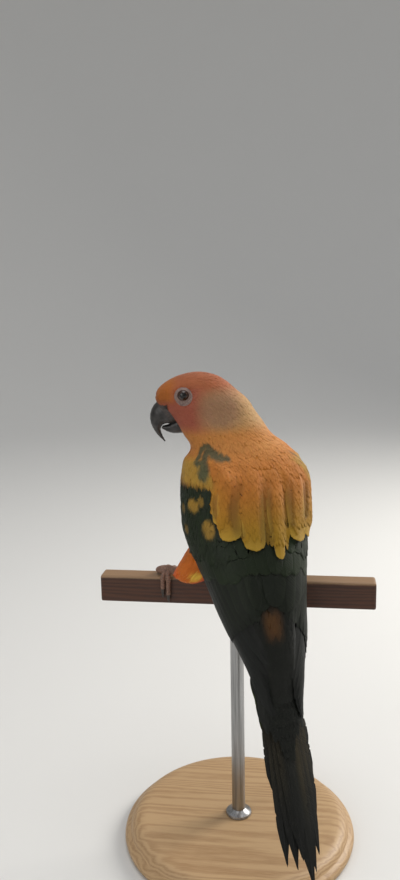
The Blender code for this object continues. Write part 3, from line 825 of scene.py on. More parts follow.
def make_skin():
    flesh = ["head", "neck", "trunk", "leg_left", "leg_right"]
    # the eyes fill their sockets, which would leave pits under the lids
    body = flesh_copy([*flesh, "eye_left", "eye_right"])
    remesh(body, SKIN_VOXEL, 8)
    mesh = taken(body)
    points = get_points(mesh)
    height, angle = body_place(points)
    side = np.abs(angle)
    under_wings = ramp(side, 134, 114) * ramp(height, 78, 64) * ramp(height, 2, 18)
    pad = WING_PAD + WING_SIDE_PAD * ramp(side, 74, 100) * ramp(height, 14, 30)
    rump = RUMP_PAD * ramp(side, 70, 30) * ramp(height, 8, -4) * ramp(height, -54, -46)
    rump = rump + RUMP_MOUND * ramp(side, 34, 20) * ramp(height, 10, 2) * ramp(height, -44, -30)
    rise = pad * under_wings + rump - coat_depth(points) - SKIN_GROWTH / MM
    points = points + MM * rise[:, None] * get_normals(mesh)
    low = ramp(height, 17, 1) * (leg_place(points)[0] < 1.3) * (points[:, 0] < 0)
    points[:, 0] += THIGH_SPREAD * low * (points[:, 0] - THIGH_MIDDLE * MM)
    points[:, 2] -= THIGH_DROP * MM * low
    for side in SIDES:
        _, out = eye_axis(side)
        along, around = from_eye(points, side)
        floor = SOCKET_FLOOR - SOCKET_DEPTH * ramp(around, 5.2, 3.0)
        sink = np.maximum(along - floor, 0) * (along > 0) * ramp(around, 5.8, 4.0)
        points = points - MM * sink[:, None] * out
    forward, up, left = head_place(points)
    face, brow = read(FACE_TAPER, forward), read(BROW_TAPER, forward)
    limit = face + (brow - face) * ramp(up, 0.5, 5.0)
    excess = np.maximum(np.abs(left) - limit, 0) * ramp(up, -19, -15) * ramp(up, 11, 8) * (forward > 9)
    points = points - MM * (np.sign(left) * excess)[:, None] * HEAD_LEFT
    set_points(mesh, points)
    paint(mesh, marking(points))
    mesh.shade_smooth()
    return show("skin", mesh, "skin", "body_feathers", flesh).data


skin = make_skin()
skin.calc_loop_triangles()
SKIN_POINTS, SKIN_NORMALS = get_points(skin), get_normals(skin)
SKIN_TRIANGLES = np.array([triangle.vertices[:] for triangle in skin.loop_triangles])
SKIN_TREE = BVHTree.FromPolygons(SKIN_POINTS.tolist(), SKIN_TRIANGLES.tolist())


def on_skin(points):
    """The nearest places on the skin, with the skin's normals there."""
    flat = points.reshape(-1, 3)
    places, normals = np.empty_like(flat), np.empty_like(flat)
    for index, point in enumerate(flat.tolist()):
        places[index], normals[index], _, _ = SKIN_TREE.find_nearest(point)
    return places.reshape(points.shape), normals.reshape(points.shape)


# ---------------------------------------------------------------- feathers in bulk
LEAF_WIDTH = ((0, 0.35), (0.25, 0.85), (0.6, 1.0), (0.85, 0.93), (1, 0.66))
LEAF_POINT = 0.3  # how far a small feather's edges fall back from its tip, as a share of its length
LEAF_FRAY = 0.04  # how uneven its tip is, as a share of its length
LEAF_CAMBER = 0.2  # how far its edges fall, as a share of half its width
ROOT_DEPTH = 0.2  # how far the roots lie under the skin
TIP_SETTLING = 0.16  # the share of its rise that a tip loses, onto the feathers after it
COAT_SOFTNESS = 0.82  # how far the coat's shading is turned towards the body's
COAT_SPACING = 0.175  # between roots, as a share of the feathers' length
LONGEST_STRIDE = 0.45  # between a small feather's rows, as a share of its length
LEAST_REACH = 0.4  # from root to tip, as a share of its length
DEEPEST_FOLD = -0.5  # how far any face may be turned over, as a share of the mean one's size
PATCH_SIZE = 0.003  # of a small feather on the bake's map


def weave(count, rows, columns, flipped):
    """Faces of closed leaves: a grid of rows and columns on top and one shaft line below.

    Flipped are the leaves whose columns run to the left of their tips.
    """
    line = columns + 1
    grid = np.arange(rows * line).reshape(rows, line)
    top, under = grid[:, :columns], grid[:, columns]
    quads = [np.stack((top[:-1, :-1], top[:-1, 1:], top[1:, 1:], top[1:, :-1]), -1).reshape(-1, 4)]
    quads.append(np.stack((under[:-1], top[:-1, 0], top[1:, 0], under[1:]), -1))
    quads.append(np.stack((top[:-1, -1], under[:-1], under[1:], top[1:, -1]), -1))
    caps = np.stack((np.append(top[0, ::-1], under[0]), np.append(top[-1], under[-1])))
    step = (np.arange(count) * rows * line)[:, None, None]
    faces = [np.concatenate(quads)[None] + step, caps[None] + step]
    for group in faces:
        group[flipped] = group[flipped, :, ::-1]
    return [group.reshape(-1, group.shape[-1]) for group in faces]


def add_shaft(values, shaft):
    """Values for a leaf's grid of points, and then for the line under its shaft."""
    return np.concatenate((values, shaft[:, :, None]), 2)


def soften(mesh, normals, share):
    """Turns the shading of feathers towards the body's, so that they read as one soft coat."""
    mixed = unit(mix(get_normals(mesh), normals.reshape(-1, 3), share))
    mesh.normals_split_custom_set_from_vertices(mixed.tolist())


def lying(flows, normals):
    """Ways along a surface, from any ways and the surface's normals."""
    return unit(flows - (flows * normals).sum(-1, keepdims=True) * normals)


def plumage(name, coat, rows, columns, finish, slot, tint, lobed=False, softness=COAT_SOFTNESS):
    """Small feathers as one joined mesh, laid on the skin or on the large feathers.

    The coat is each feather's root, its normal there and the way it points, then its length, half
    width and rise in millimetres. Tint gives the colours.
    """
    roots, normals, flows, length, half, rise = coat
    count, middle = len(roots), columns // 2
    along = np.linspace(0, 1, rows) ** 0.85
    down, across = along[:, None], np.linspace(-1, 1, columns)
    x = half[:, None, None] * read(LEAF_WIDTH, down) * across
    tips = draw.uniform(-1, 1, (count, 1, columns)) * LEAF_FRAY
    y = length[:, None, None] * (down - LEAF_POINT * across**2 * down**3 + tips * down**6)
    flows = lying(flows, normals)
    sides = np.cross(flows, normals)
    root, out, flow, aside = (part[:, None, None] for part in (roots, normals, flows, sides))
    spots = root + MM * (y[..., None] * flow + x[..., None] * aside)
    places, around = on_skin(spots)
    around = unit(around + 0.6 * out)
    height, angle = body_place(spots)
    pile = pile_at(LOBED_PILE if lobed else RESTING_PILE, height, angle)
    piled = (pile - pile_at(BARE_PILE, height, angle) > 0.05) & (np.abs(angle) < 138) & (height < 84)
    piled &= (height > 44) | lobed
    slope = piled_normal(LOBED_PILE, height, angle)
    shade = mix(around, slope, piled * (1.0 if lobed else ramp(height, 72, 62)))
    places = np.where(piled[..., None], body_surface(height, angle, pile), places)
    rising = down**0.8 * (1 - TIP_SETTLING * ramp(down, 0.75, 1.0))
    lift = -ROOT_DEPTH + (rise[:, None, None] + ROOT_DEPTH) * rising
    camber = LEAF_CAMBER * half[:, None, None] * across**2
    top = places + MM * (lift - camber)[..., None] * around
    # a feather that would be pulled, bent back or folded over itself is left out
    strides, widths = np.diff(top, axis=1), np.diff(top, axis=2)
    whole = np.linalg.norm(strides, axis=-1).max((1, 2)) <= LONGEST_STRIDE * MM * length
    whole &= (strides.sum(1)[:, middle] * flows).sum(-1) >= LEAST_REACH * MM * length
    facing = (np.cross(widths[:, :-1], strides[:, :, :-1]) * around[:, :-1, :-1]).sum(-1)
    whole &= facing.min((1, 2)) >= DEEPEST_FOLD * facing.mean((1, 2))
    kept = int(whole.sum())
    thick = 0.06 + 0.05 * half[:, None]
    under = top[:, :, middle] - MM * (thick + camber[:, :, 0])[..., None] * around[:, :, middle]
    mesh = build_mesh(name, add_shaft(top, under)[whole], weave(kept, rows, columns, np.zeros(kept, bool)))
    soften(mesh, add_shaft(shade, shade[:, :, 0])[whole], softness)
    colours = tint(roots, places, along, across)
    # painted shade: the line under the shaft, and so the feather's underside, is darker
    paint(mesh, add_shaft(colours, 0.9 * colours[:, :, middle])[whole])
    vane = np.stack((x, y), -1)
    vane = add_shaft(vane, vane[:, :, middle])
    shift = draw.uniform(0, 40, (count, 1, 1))
    add_map(mesh, "vane", (vane / 10 + np.stack((0 * shift, shift), -1))[whole])
    # on the bake's map each feather has a patch at its root's place on the body
    height, angle = body_place(roots)
    home = np.stack((0.05 + 0.9 * (angle + 180) / 360, 0.05 + 0.9 * (height + 80) / 210), -1)
    patch = PATCH_SIZE * vane / np.stack((2 * half, length), -1)[:, None, None]
    add_map(mesh, "OFBake", (home[:, None, None] + patch)[whole])
    return show(name, mesh, finish, slot)


def lie_of_coat(points, normals):
    """The way that feathers point at places on the skin."""
    height, angle = body_place(points)
    bill = head_point(17.0, -4.0, 0.0)
    far = np.linalg.norm(points - bill, axis=-1) / MM
    nape = unit(-0.55 * FACING - 0.8 * UP)
    on_head = mix(unit(points - bill), nape, ramp(far, 16, 40))
    body = mix(TAILWARDS, on_head, ramp(height, 74, 92))
    for side in SIDES:
        centre, out = eye_axis(side)
        along, around = from_eye(points, side)
        ring = (points - centre) - MM * along[:, None] * out
        near = ramp(around, 8.2, 5.6) * (along > 0)
        body = mix(body, unit(ring), 0.8 * near)
        hip, heel = (perch_point(*THIGHS[side][end][:3]) for end in (0, -1))
        share = np.clip(((points - hip) @ (heel - hip)) / ((heel - hip) @ (heel - hip)), 0, 1)
        reach = np.linalg.norm(points - (hip + share[:, None] * (heel - hip)), axis=-1) / MM
        body = mix(body, unit(heel - hip), ramp(reach, 14, 9) * ramp(share, 0.1, 0.5))
    return lying(unit(body), normals)


def swayed(flows, normals, spread):
    """The same ways, each turned a little along the surface."""
    return unit(flows + draw.normal(0, spread, (len(flows), 1)) * np.cross(normals, flows))


def scatter(candidates):
    """Roots spread over the skin, closer where the feathers are small, with the skin's normals."""
    corners = SKIN_POINTS[SKIN_TRIANGLES]
    area = np.linalg.norm(np.cross(corners[:, 1] - corners[:, 0], corners[:, 2] - corners[:, 0]), axis=-1)
    spacing = COAT_SPACING * coat_size(corners.mean(1))
    weight = area / spacing**2
    chosen = draw.choice(len(area), candidates, p=weight / weight.sum())
    a, b = draw.uniform(0, 1, (2, candidates, 1))
    a, b = np.where(a + b > 1, 1 - a, a), np.where(a + b > 1, 1 - b, b)
    corners = corners[chosen]
    points = corners[:, 0] + a * (corners[:, 1] - corners[:, 0]) + b * (corners[:, 2] - corners[:, 0])
    normals = unit(SKIN_NORMALS[SKIN_TRIANGLES[chosen]].mean(1))
    spacing = spacing[chosen]
    tree = KDTree(candidates)
    for index, point in enumerate(points.tolist()):
        tree.insert(point, index)
    tree.balance()
    free = np.ones(candidates, bool)
    kept = []
    for index, point in enumerate(points.tolist()):
        if free[index]:
            kept.append(index)
            for _, other, _ in tree.find_range(point, spacing[index] * MM):
                free[other] = False
    return points[kept], normals[kept]


# ---------------------------------------------------------------- the bill
BILL_SIDES = 36
CERE_SPAN = 118  # degrees round the bill's base on each side of its ridge
CERE_RINGS = slice(10, 31)  # of the upper half's rings, at 12 to a row of its table
NOSTRIL = (0.42, 0.2, 52, 11)  # along the cere as a share and round it in degrees: place and reach of each
BILL_REACH = 0.032  # the bill's base is nearer than this to the middle of the skull


def bill_points(rows, steps, theta, swell=0.0):
    """Points round a half of the bill; theta runs from the ridge, and swell is in millimetres."""
    rings = smooth_rows(rows, steps)
    ridge_forward, ridge_up, edge_forward, edge_up, half = (rings[:, [column]] for column in range(5))
    share = (1 - np.cos(theta)) / 2
    forward = ridge_forward + (edge_forward - ridge_forward) * share
    up = ridge_up + (edge_up - ridge_up) * share
    side = np.sign(np.sin(theta)) * np.abs(np.sin(theta)) ** 0.78
    left = (half + swell) * side * (1 + 0.18 * (share - 0.5))
    if swell:
        middle_forward, middle_up = (ridge_forward + edge_forward) / 2, (ridge_up + edge_up) / 2
        reach = np.hypot(ridge_forward - edge_forward, ridge_up - edge_up) / 2
        forward = middle_forward + (forward - middle_forward) * (1 + swell / reach)
        up = middle_up + (up - middle_up) * (1 + swell / reach)
    return head_point(forward, up, left)


def make_bill_half(half, rows):
    theta = np.linspace(0, 2 * np.pi, BILL_SIDES, endpoint=False)
    points = bill_points(rows, 6, theta)
    # growth lines and wear: shallow rings along the horn
    place = np.arange(len(points))[:, None]
    ripple = 0.05 * np.sin(place * 1.9) + 0.03 * np.sin(place * 4.3 + theta * 2)
    points = points + MM * ripple[..., None] * unit(points - points.mean(1, keepdims=True))
    mesh = ringed("bill_" + half, points)
    show("bill_%s_horn" % half, mesh, "bill", "bill_horn", ["bill_" + half])
    return BVHTree.FromPolygons(get_points(mesh).tolist(), [face.vertices[:] for face in mesh.polygons])


def make_cere():
    """The narrow band of bare skin over the base of the bill, with a nostril on each side."""
    theta = np.radians(np.linspace(-CERE_SPAN, CERE_SPAN, 61))
    outer = bill_points(UPPER_BILL, 12, theta, 0.55)[CERE_RINGS]
    inner = bill_points(UPPER_BILL, 12, theta, -0.5)[CERE_RINGS]
    across = np.abs(np.degrees(theta))
    place = np.linspace(0, 1, len(outer))[:, None]
    fade = ramp(place, 1.0, 0.72) * ramp(across, CERE_SPAN, 95)
    middle, reach, middle_across, reach_across = NOSTRIL
    nostril = np.hypot((place - middle) / reach, (across - middle_across) / reach_across)
    hollow = ramp(nostril, 1.0, 0.45)
    rim = ramp(nostril, 1.9, 1.2) * ramp(nostril, 0.8, 1.2)
    thick = np.clip(fade * (0.62 + 0.2 * rim) - 0.75 * hollow, -0.2, 1.0)
    surface = inner + (outer - inner) * (0.5 + 0.5 * thick)[..., None]
    show("cere", closed_sheet("cere", surface, inner), "cere", "bare_skin")


BILL_TREES = [make_bill_half(half, rows) for half, rows in (("upper", UPPER_BILL), ("lower", LOWER_BILL))]
make_cere()


def inside_bill(points):
    """True for places that the bill's base covers."""
    inside = np.zeros(len(points), bool)
    for index in np.flatnonzero(np.linalg.norm(points - SKULL, axis=-1) < BILL_REACH):
        point = Vector(points[index])
        for tree in BILL_TREES:
            place, normal, _, _ = tree.find_nearest(point)
            inside[index] |= (point - place).dot(normal) < -0.0002
    return inside


# ---------------------------------------------------------------- the eyes
# the lids' and the bare skin's rings: distances from the eye's axis, and heights out of the head
LID_RADII = np.array((2.9, 3.05, 3.2, 3.35, 3.5, 3.7, 3.95, 4.25, 4.6, 5.0, 5.4, 5.9))[:, None]
LID_HEIGHTS = np.array((2.9, 3.2, 3.42, 3.5, 3.47, 3.38, 3.32, 3.26, 3.18, 3.06, 2.92, 2.7))[:, None]
LID_AROUND = 96
LID_THICKNESS = 0.6
RAY_START = 8.0  # how far out of the surface rays towards the skin start


def make_eyeball(side):
    centre, out = eye_axis(side)
    bpy.ops.mesh.primitive_uv_sphere_add(segments=64, ring_count=48, radius=BALL_RADIUS * MM)
    mesh = taken(bpy.context.object)
    points = get_points(mesh)
    from_axis = np.hypot(points[:, 0], points[:, 1]) / MM
    points[:, 2] += MM * (BALL_SHIFT + 0.4 * ramp(from_axis, 3.2, 0.0) * (points[:, 2] > 0))
    iris = np.repeat(linear("#3A2317")[None], len(points), 0)
    iris = iris * (1 + 0.25 * np.sin(np.arctan2(points[:, 1], points[:, 0]) * 23))[:, None]
    colours = mix(iris, linear("#060505"), ramp(from_axis, 2.0, 1.75))
    colours = mix(colours, linear("#120C09"), ramp(from_axis, 2.9, 3.3))
    turned = Vector((0, 0, 1)).rotation_difference(Vector(out)).to_matrix().to_4x4()
    place = Matrix.Translation(centre) @ turned
    set_points(mesh, np.array([place @ Vector(point) for point in points.tolist()]))
    paint(mesh, colours)
    mesh.shade_smooth()
    show("eyeball_" + side, mesh, "eye", "eye", ["eye_" + side])


def make_eyelids(side):
    centre, out = eye_axis(side)
    turn = np.linspace(0, 2 * np.pi, LID_AROUND, endpoint=False)
    level = unit(np.cross(out, UP))
    top = np.cross(level, out)
    radii = LID_RADII
    wrinkle = 0.035 * np.sin(turn * 17 + 2 * radii) * ramp(radii, 3.7, 4.3) * ramp(radii, 5.6, 5.0)
    wrinkle = wrinkle + 0.04 * np.sin(radii * 11 + 0.6 * np.sin(turn * 3)) * ramp(radii, 3.8, 4.4)
    flat = radii[..., None] * (np.cos(turn)[:, None] * level + np.sin(turn)[:, None] * top)
    flat = flat * np.where(radii < 3.6, 1 + 0.05 * np.cos(2 * turn), 1.0)[..., None]
    flat = flat - RING_DROP * ramp(radii, 3.4, 4.6)[..., None] * top
    outside = centre + MM * flat
    reach = []
    for point in (outside + MM * RAY_START * out).reshape(-1, 3).tolist():
        place, _, _, distance = SKIN_TREE.ray_cast(point, (-out).tolist())
        reach.append(3.0 if place is None else RAY_START - distance / MM)
    reach = np.reshape(reach, (len(radii), LID_AROUND))
    seat = ramp(radii, 4.0, 5.0)
    # the lids come further over the ball above and below, which makes the opening an oval
    heights = LID_HEIGHTS + 0.3 * np.sin(turn) ** 2 * ramp(radii, 4.2, 3.4)
    rise = (heights + wrinkle) * (1 - seat) + (reach + 0.32 - 0.42 * ramp(radii, 4.6, 5.6)) * seat
    surface = outside + MM * rise[..., None] * out
    surface = np.concatenate((surface, surface[:, :1]), 1)
    mesh = closed_sheet("eyelids_" + side, surface, surface - MM * LID_THICKNESS * out)
    show("eyelids_" + side, mesh, "bare", "bare_skin")


for side in SIDES:
    make_eyeball(side)
    make_eyelids(side)


# ---------------------------------------------------------------- how high the plumage is piled
PILE_STEP = 0.5  # millimetres of height between the pile's rows; its columns are a degree apart
PILE_HEIGHTS = np.arange(-66.0, 88.0, PILE_STEP)
PILE_ANGLES = np.arange(-140.0, 141.0, 1.0)
PILE_PLACES = np.meshgrid(PILE_HEIGHTS, PILE_ANGLES, indexing="ij")


def skin_pile():
    """How far the skin lies outside the body's smooth surface, over a grid of heights and angles."""
    start = body_surface(*PILE_PLACES, RAY_START).reshape(-1, 3)
    way = -surface_normal(*PILE_PLACES).reshape(-1, 3)
    lift = np.full(len(start), -2.0)
    for index, (point, direction) in enumerate(zip(start.tolist(), way.tolist())):
        place, _, _, distance = SKIN_TREE.ray_cast(point, direction, 0.012)
        if place is not None:
            lift[index] = RAY_START - distance / MM
    return lift.reshape(PILE_PLACES[0].shape)


BARE_PILE = skin_pile()
# the tail's coverts are laid later, and the wings' tips lie over them
PILE = BARE_PILE + 0.9 * ramp(PILE_HEIGHTS, -38.0, -46.0)[:, None]


def pile_cell(height, angle):
    row = np.clip((height - PILE_HEIGHTS[0]) / PILE_STEP, 0, len(PILE_HEIGHTS) - 1.001)
    return row, np.clip(angle - PILE_ANGLES[0], 0, len(PILE_ANGLES) - 1.001)


def pile_at(pile, height, angle):
    """Lift of the top of a pile at places on the body."""
    row, column = pile_cell(height, angle)
    i, j = row.astype(int), column.astype(int)
    u, v = row - i, column - j
    near = pile[i, j] * (1 - v) + pile[i, j + 1] * v
    return near * (1 - u) + (pile[i + 1, j] * (1 - v) + pile[i + 1, j + 1] * v) * u


def piled_normal(pile, height, angle):
    """The way out of the top of a pile."""

    def near(up, around):
        place = height + up, angle + around
        return body_surface(*place, pile_at(pile, *place))

    return unit(np.cross(near(0.8, 0) - near(-0.8, 0), near(0, 1.6) - near(0, -1.6)))


def finer(values):
    """A grid of values with others halfway between them, both ways."""
    for axis in (0, 1):
        values = np.moveaxis(values, axis, 0)
        wide = np.empty((len(values) * 2 - 1, values.shape[1]))
        wide[::2] = values
        wide[1::2] = (values[1:] + values[:-1]) / 2
        values = np.moveaxis(wide, 0, axis)
    return values


def add_to_pile(height, angle, lift):
    height, angle, lift = (finer(finer(values)) for values in (height, angle, lift))
    row, column = pile_cell(height, angle)
    np.maximum.at(PILE, (np.rint(row).astype(int), np.rint(column).astype(int)), lift)


def drape(floor, passes):
    """Lifts of a springy vane that rests on a floor of lifts."""
    lift = floor
    for _ in range(passes):
        along = np.pad(lift, ((1, 1), (0, 0)), "edge")
        across = np.pad(lift, ((0, 0), (1, 1)), "edge")
        mean = (along[:-2] + along[2:] + across[:, :-2] + across[:, 2:]) / 4
        lift = np.maximum(floor, mean)
    return lift


# ---------------------------------------------------------------- large feathers
SHAFT_HALF = 0.03  # the shaft's share of a vane's half width
SHAFT_RIDGE = 0.07
VANE_GAP = 0.08  # between a feather and what it lies on
FEATHER_LEVEL = 4.0  # how far over the body feathers are measured


def vane_columns(count):
    """Places across a vane, closer at its shaft, where one column makes a ridge."""
    half = np.linspace(0, 1, count // 2 + 1) ** 0.9
    half[1] = min(half[1], 0.07)
    return np.concatenate((-half[:0:-1], half))


class Vane:
    """The outline of one kind of large feather and the grid of points that makes it."""

    def __init__(self, rows, columns, width, bluntness, fray, splits=0.0):
        self.rows, self.columns = rows, vane_columns(columns)
        self.width, self.bluntness, self.fray, self.splits = width, bluntness, fray, splits

    def grid(self, half, length, taper):
        """Across in millimetres and along as a share of the length, as (feather, row, column)."""
        count, columns = len(half), self.columns
        along = 1 - (1 - np.linspace(0, 1, self.rows)) ** 1.3
        down = along[:, None]
        width = read(self.width, along) * (1 - taper[:, None] * ramp(along, 0.3, 1.05))
        x = half[:, None, None] * width[:, :, None] * columns
        end = 1 - np.sqrt(1 - 0.999 * columns**2)
        bend = self.bluntness * (half / length)[:, None, None] * end
        y = down * (1 - bend * down**1.5)
        teeth = draw.uniform(-1, 0.2, (count, 1, len(columns))) * (1 - 0.7 * (np.abs(columns) < 0.1))
        y = y + self.fray / length[:, None, None] * teeth * down**14
        split = draw.uniform(0, 1, (count, self.rows, 1)) < self.splits
        return x * (1 - 0.18 * split * (np.abs(columns) > 0.9)), y, along


SADDLE_VANE = Vane(26, 17, ((0, 0.5), (0.3, 0.9), (0.6, 1.0), (1, 0.98)), 0.95, 0.6)
COVERT_VANE = Vane(11, 13, ((0, 0.45), (0.3, 0.92), (0.7, 1.0), (1, 0.97)), 1.0, 0.35)
FLIGHT_VANE = Vane(32, 13, ((0, 0.5), (0.2, 0.9), (0.6, 1.0), (1, 0.9)), 1.5, 0.6, 0.04)
PRIMARY_VANE = Vane(40, 13, ((0, 0.5), (0.2, 0.95), (0.6, 1.0), (0.85, 0.9), (1, 0.75)), 2.2, 0.8, 0.04)
TAIL_WIDTH = ((0, 0.35), (0.12, 0.75), (0.3, 1.0), (0.6, 1.0), (0.8, 0.88), (0.9, 0.62), (1, 0.2))
TAIL_VANE = Vane(64, 15, TAIL_WIDTH, 1.2, 1.4, 0.05)


def feather_row(half, root, tip, arch, taper=0.0, bow=0.0, floors=(-3.0, -3.0)):
    """One feather of a table for lay_on_body: its ends are heights and angles, which give its length."""
    spots = body_surface(*(np.linspace(start, end, 12) for start, end in zip(root, tip)), FEATHER_LEVEL)
    length = np.linalg.norm(np.diff(spots, axis=0), axis=1).sum() / MM
    return (half, length, taper, *root, *tip, bow, *floors, arch)


def mirrored(table, side):
    table = np.array(table)
    if side == "right":
        table[:, [4, 6]] *= -1
    return table


def lay_on_body(table, x, y, along, columns):
    """Lays feathers one after another on the body and on those laid before them."""
    half, length, taper, h0, a0, h1, a1, bow, root_floor, tip_floor, arch = table.T[..., None, None]
    side = np.sign(a0)

    def path(share):
        return h0 + (h1 - h0) * share, a0 + (a1 - a0) * share + side * bow * 4 * share * (1 - share)

    height, angle = path(y)
    centre = body_surface(height, angle)
    ahead = unit(body_surface(*path(y + 0.02)) - centre)
    outwards = side[..., None] * np.cross(ahead, surface_normal(height, angle))
    height, angle = body_place(centre + MM * x[..., None] * outwards)
    floor = root_floor + (tip_floor - root_floor) * along[:, None]
    swell = arch * (1 - (x / half) ** 2) * ramp(along, 0.0, 0.35)[:, None]
    ridge = SHAFT_RIDGE * (np.abs(columns) < SHAFT_HALF)
    lift = np.empty_like(x)
    for index in range(len(table)):
        under = np.maximum(pile_at(PILE, height[index], angle[index]), floor[index])
        lift[index] = drape(under, 12) + VANE_GAP + swell[index] + ridge
        add_to_pile(height[index], angle[index], lift[index])
    shaft = (..., len(columns) // 2)
    thick = 0.16 + 0.04 * half[:, :, 0]
    return body_surface(height, angle, lift), body_surface(height[shaft], angle[shaft], lift[shaft] - thick)


def large_feathers(name, table, vane, place, tint, finish, slot, nodes=(), softness=0.0):
    """Large feathers as one joined mesh. Place lays them, and tint gives their colours."""
    table = np.array(table, float)
    count, middle, half_way = len(table), len(vane.columns) // 2, vane.rows // 2
    half, length, taper = table[:, :3].T
    x, y, along = vane.grid(half, length, taper)
    top, under = place(table, x, y, along, vane.columns)
    points = add_shaft(top, under)
    shaft = top[:, half_way, middle]
    across, onwards = top[:, half_way, -1] - shaft, top[:, half_way + 1, middle] - shaft
    flipped = (np.cross(across, onwards) * (shaft - under[:, half_way])).sum(-1) < 0
    mesh = build_mesh(name, points, weave(count, vane.rows, len(vane.columns), flipped))
    if softness:
        soften(mesh, surface_normal(*body_place(points)), softness)
    colours = tint(table, along, vane.columns, top)
    # painted shade: the line under the shaft, and so the feather's underside, is darker
    paint(mesh, add_shaft(colours, 0.85 * colours[:, :, middle]))
    spread = np.stack((x, y * length[:, None, None]), -1)
    spread = add_shaft(spread, spread[:, :, middle])
    shift = np.stack((np.zeros(count), np.arange(count) * 7.3), -1)[:, None, None]
    add_map(mesh, "vane", spread / 10 + shift)
    # on the bake's map each feather has a rectangle of its own
    across = max(1, round(math.sqrt(count * 4)))
    cell = np.stack((np.arange(count) % across, np.arange(count) // across), -1)[:, None, None]
    share = (0.5, 0.04) + spread * (0.45, 0.9) / np.stack((half, length), -1)[:, None, None]
    add_map(mesh, "OFBake", (cell + share) / (across, math.ceil(count / across)))
    return show(name, mesh, finish, slot, nodes)


def jitter(size):
    return float(draw.uniform(-size, size))


def uneven(count, spread):
    """A tone for each feather, as (feather, row, column, channel)."""
    return 1 + draw.normal(0, spread, (count, 1, 1, 1))


def shaded_along(start, rise, along):
    """Light that grows from a feather's root to its tip."""
    return (start + rise * along)[:, None, None]


# ---------------------------------------------------------------- the wings
INNER_EDGE_HEIGHTS = (-57, -46, -34, -20, -4, 4, 31)
INNER_EDGE = {"left": (13, 13, 17, 20, 15, 13, 24), "right": (13, 13, 17, 17, 6, 4, 20)}
OUTER_EDGE_HEIGHTS = (-57, -46, -34, -20, -4, 4, 14, 31)
OUTER_EDGE = {"left": (33, 66, 88, 96, 102, 105, 110, 118), "right": (72, 86, 94, 98, 102, 105, 110, 118)}


def inner_edge(height, side):
    """Angle of the folded wing's edge next to the spine."""
    return np.interp(height, INNER_EDGE_HEIGHTS, INNER_EDGE[side])


def outer_edge(height, side="left"):
    """Angle of the folded wing's lower edge, on the bird's side."""
    return np.interp(height, OUTER_EDGE_HEIGHTS, OUTER_EDGE[side])


PRIMARIES = 9
# heights of the tips from the innermost to the outermost, and the floors of roots and tips
PRIMARY_TIPS = {"left": (-26, -40, -50, -57, -54), "right": (-36, -50, -56, -59, -58)}
PRIMARY_FLOORS = {"left": (0.6, 0.2), "right": (0.8, 1.4)}
SECONDARIES = 10
SECONDARY_SLANT = {"left": 17.0, "right": 32.0}  # how much lower the outermost one's tip is


def primaries(side):
    table = []
    for index in reversed(range(PRIMARIES)):
        share = (index + 0.4) / PRIMARIES
        tip = float(np.interp(share, (0, 0.3, 0.6, 0.85, 1), PRIMARY_TIPS[side]))
        inner = inner_edge(tip, side)
        end = (tip, inner + 1 + share * (outer_edge(tip, side) - inner - 6))
        half, root, bow = 4.8 - 0.8 * share, (16.0, 60 + share * 48), 3 + 20 * share
        table.append(feather_row(half, root, end, 0.2, 0.2, bow, PRIMARY_FLOORS[side]))
    return mirrored(table, side)


def secondaries(side):
    table = []
    for index in reversed(range(SECONDARIES)):
        share = (index + 0.4) / SECONDARIES
        tip = -5.0 - SECONDARY_SLANT[side] * share
        start, inner = inner_edge(30, side), inner_edge(tip, side)
        root = (30.0, start + 6 + share * (outer_edge(30) - start - 8))
        end = (tip, inner + 4 + share * (outer_edge(tip) - inner - 5))
        table.append(feather_row(5.2 - 1.2 * share, root, end, 0.3, 0.25, 2.0, (1.3, 1.4 - 0.9 * share)))
    return mirrored(table, side)


# tips of the three long inner feathers of each wing, which close over the back
TERTIALS = {
    "left": ((-4.0, 33.0), (-3.0, 22.0), (-0.5, 13.0)),
    "right": ((2.0, -34.0), (-2.0, -23.0), (-2.8, -11.0), (0.8, 0.5)),
}
TERTIAL_TURN = {"left": 3, "right": -6}  # how much further out their roots are


def tertials(side):
    roots = [(34.0, angle * 0.9 + TERTIAL_TURN[side]) for _, angle in TERTIALS[side]]
    return [feather_row(6.6, root, tip, 0.5, floors=(1.3, 1.6)) for root, tip in zip(roots, TERTIALS[side])]


def wing_tint(plain, edge, far, shaft_depth):
    """Colours of long wing feathers: a plain vane with a paler outer edge, which fades in far feathers."""

    def tint(table, along, columns, top):
        share = ramp(np.abs(table[:, 4]), 30, 105)[:, None, None]
        rim = ramp(columns, 0.35, 1.0) * (1 - 0.6 * share)
        body = mix(PLUMAGE[plain], PLUMAGE[far], share)
        colour = mix(body, PLUMAGE[edge], 0.75 * rim * np.ones((len(along), 1)))
        shaft = shaft_depth * (np.abs(columns) < SHAFT_HALF)[:, None]
        return colour * uneven(len(table), 0.06) * (1 - shaft) * shaded_along(0.85, 0.2, along)

    return tint


# yellow spots among the wing coverts: height and angle, reach up and round in millimetres, and strength
YELLOW_SPOTS = (
    (49.0, 74.0, 3.3, 3.9, 0.9),
    (51.9, 61.8, 2.6, 1.9, 0.6),
    (38.7, 53.9, 4.7, 3.3, 0.8),
    (35.7, 90.0, 2.2, 2.0, 0.4),
    (46.0, 93.0, 2.2, 2.0, 0.4),
    (46.0, -72.0, 3.6, 3.0, 0.8),
    (37.0, -84.0, 2.4, 2.2, 0.5),
    (52.5, -88.0, 2.2, 2.4, 0.6),
)
LESSER_ROWS = np.arange(29.5, 62.0, 3.7)  # heights of the small coverts' tips
LESSER_SPACING = 4.7


def evenly_round(height, low, high, spacing, start):
    """Angles at equal distances round the left side; start is the first one's share of the spacing."""
    angles = np.arange(low, high, 0.5)
    steps = np.diff(body_surface(height, angles, FEATHER_LEVEL), axis=0)
    travel = np.append(0.0, np.cumsum(np.linalg.norm(steps, axis=1) / MM))
    return np.interp(np.arange(start * spacing, travel[-1], spacing), travel, angles)


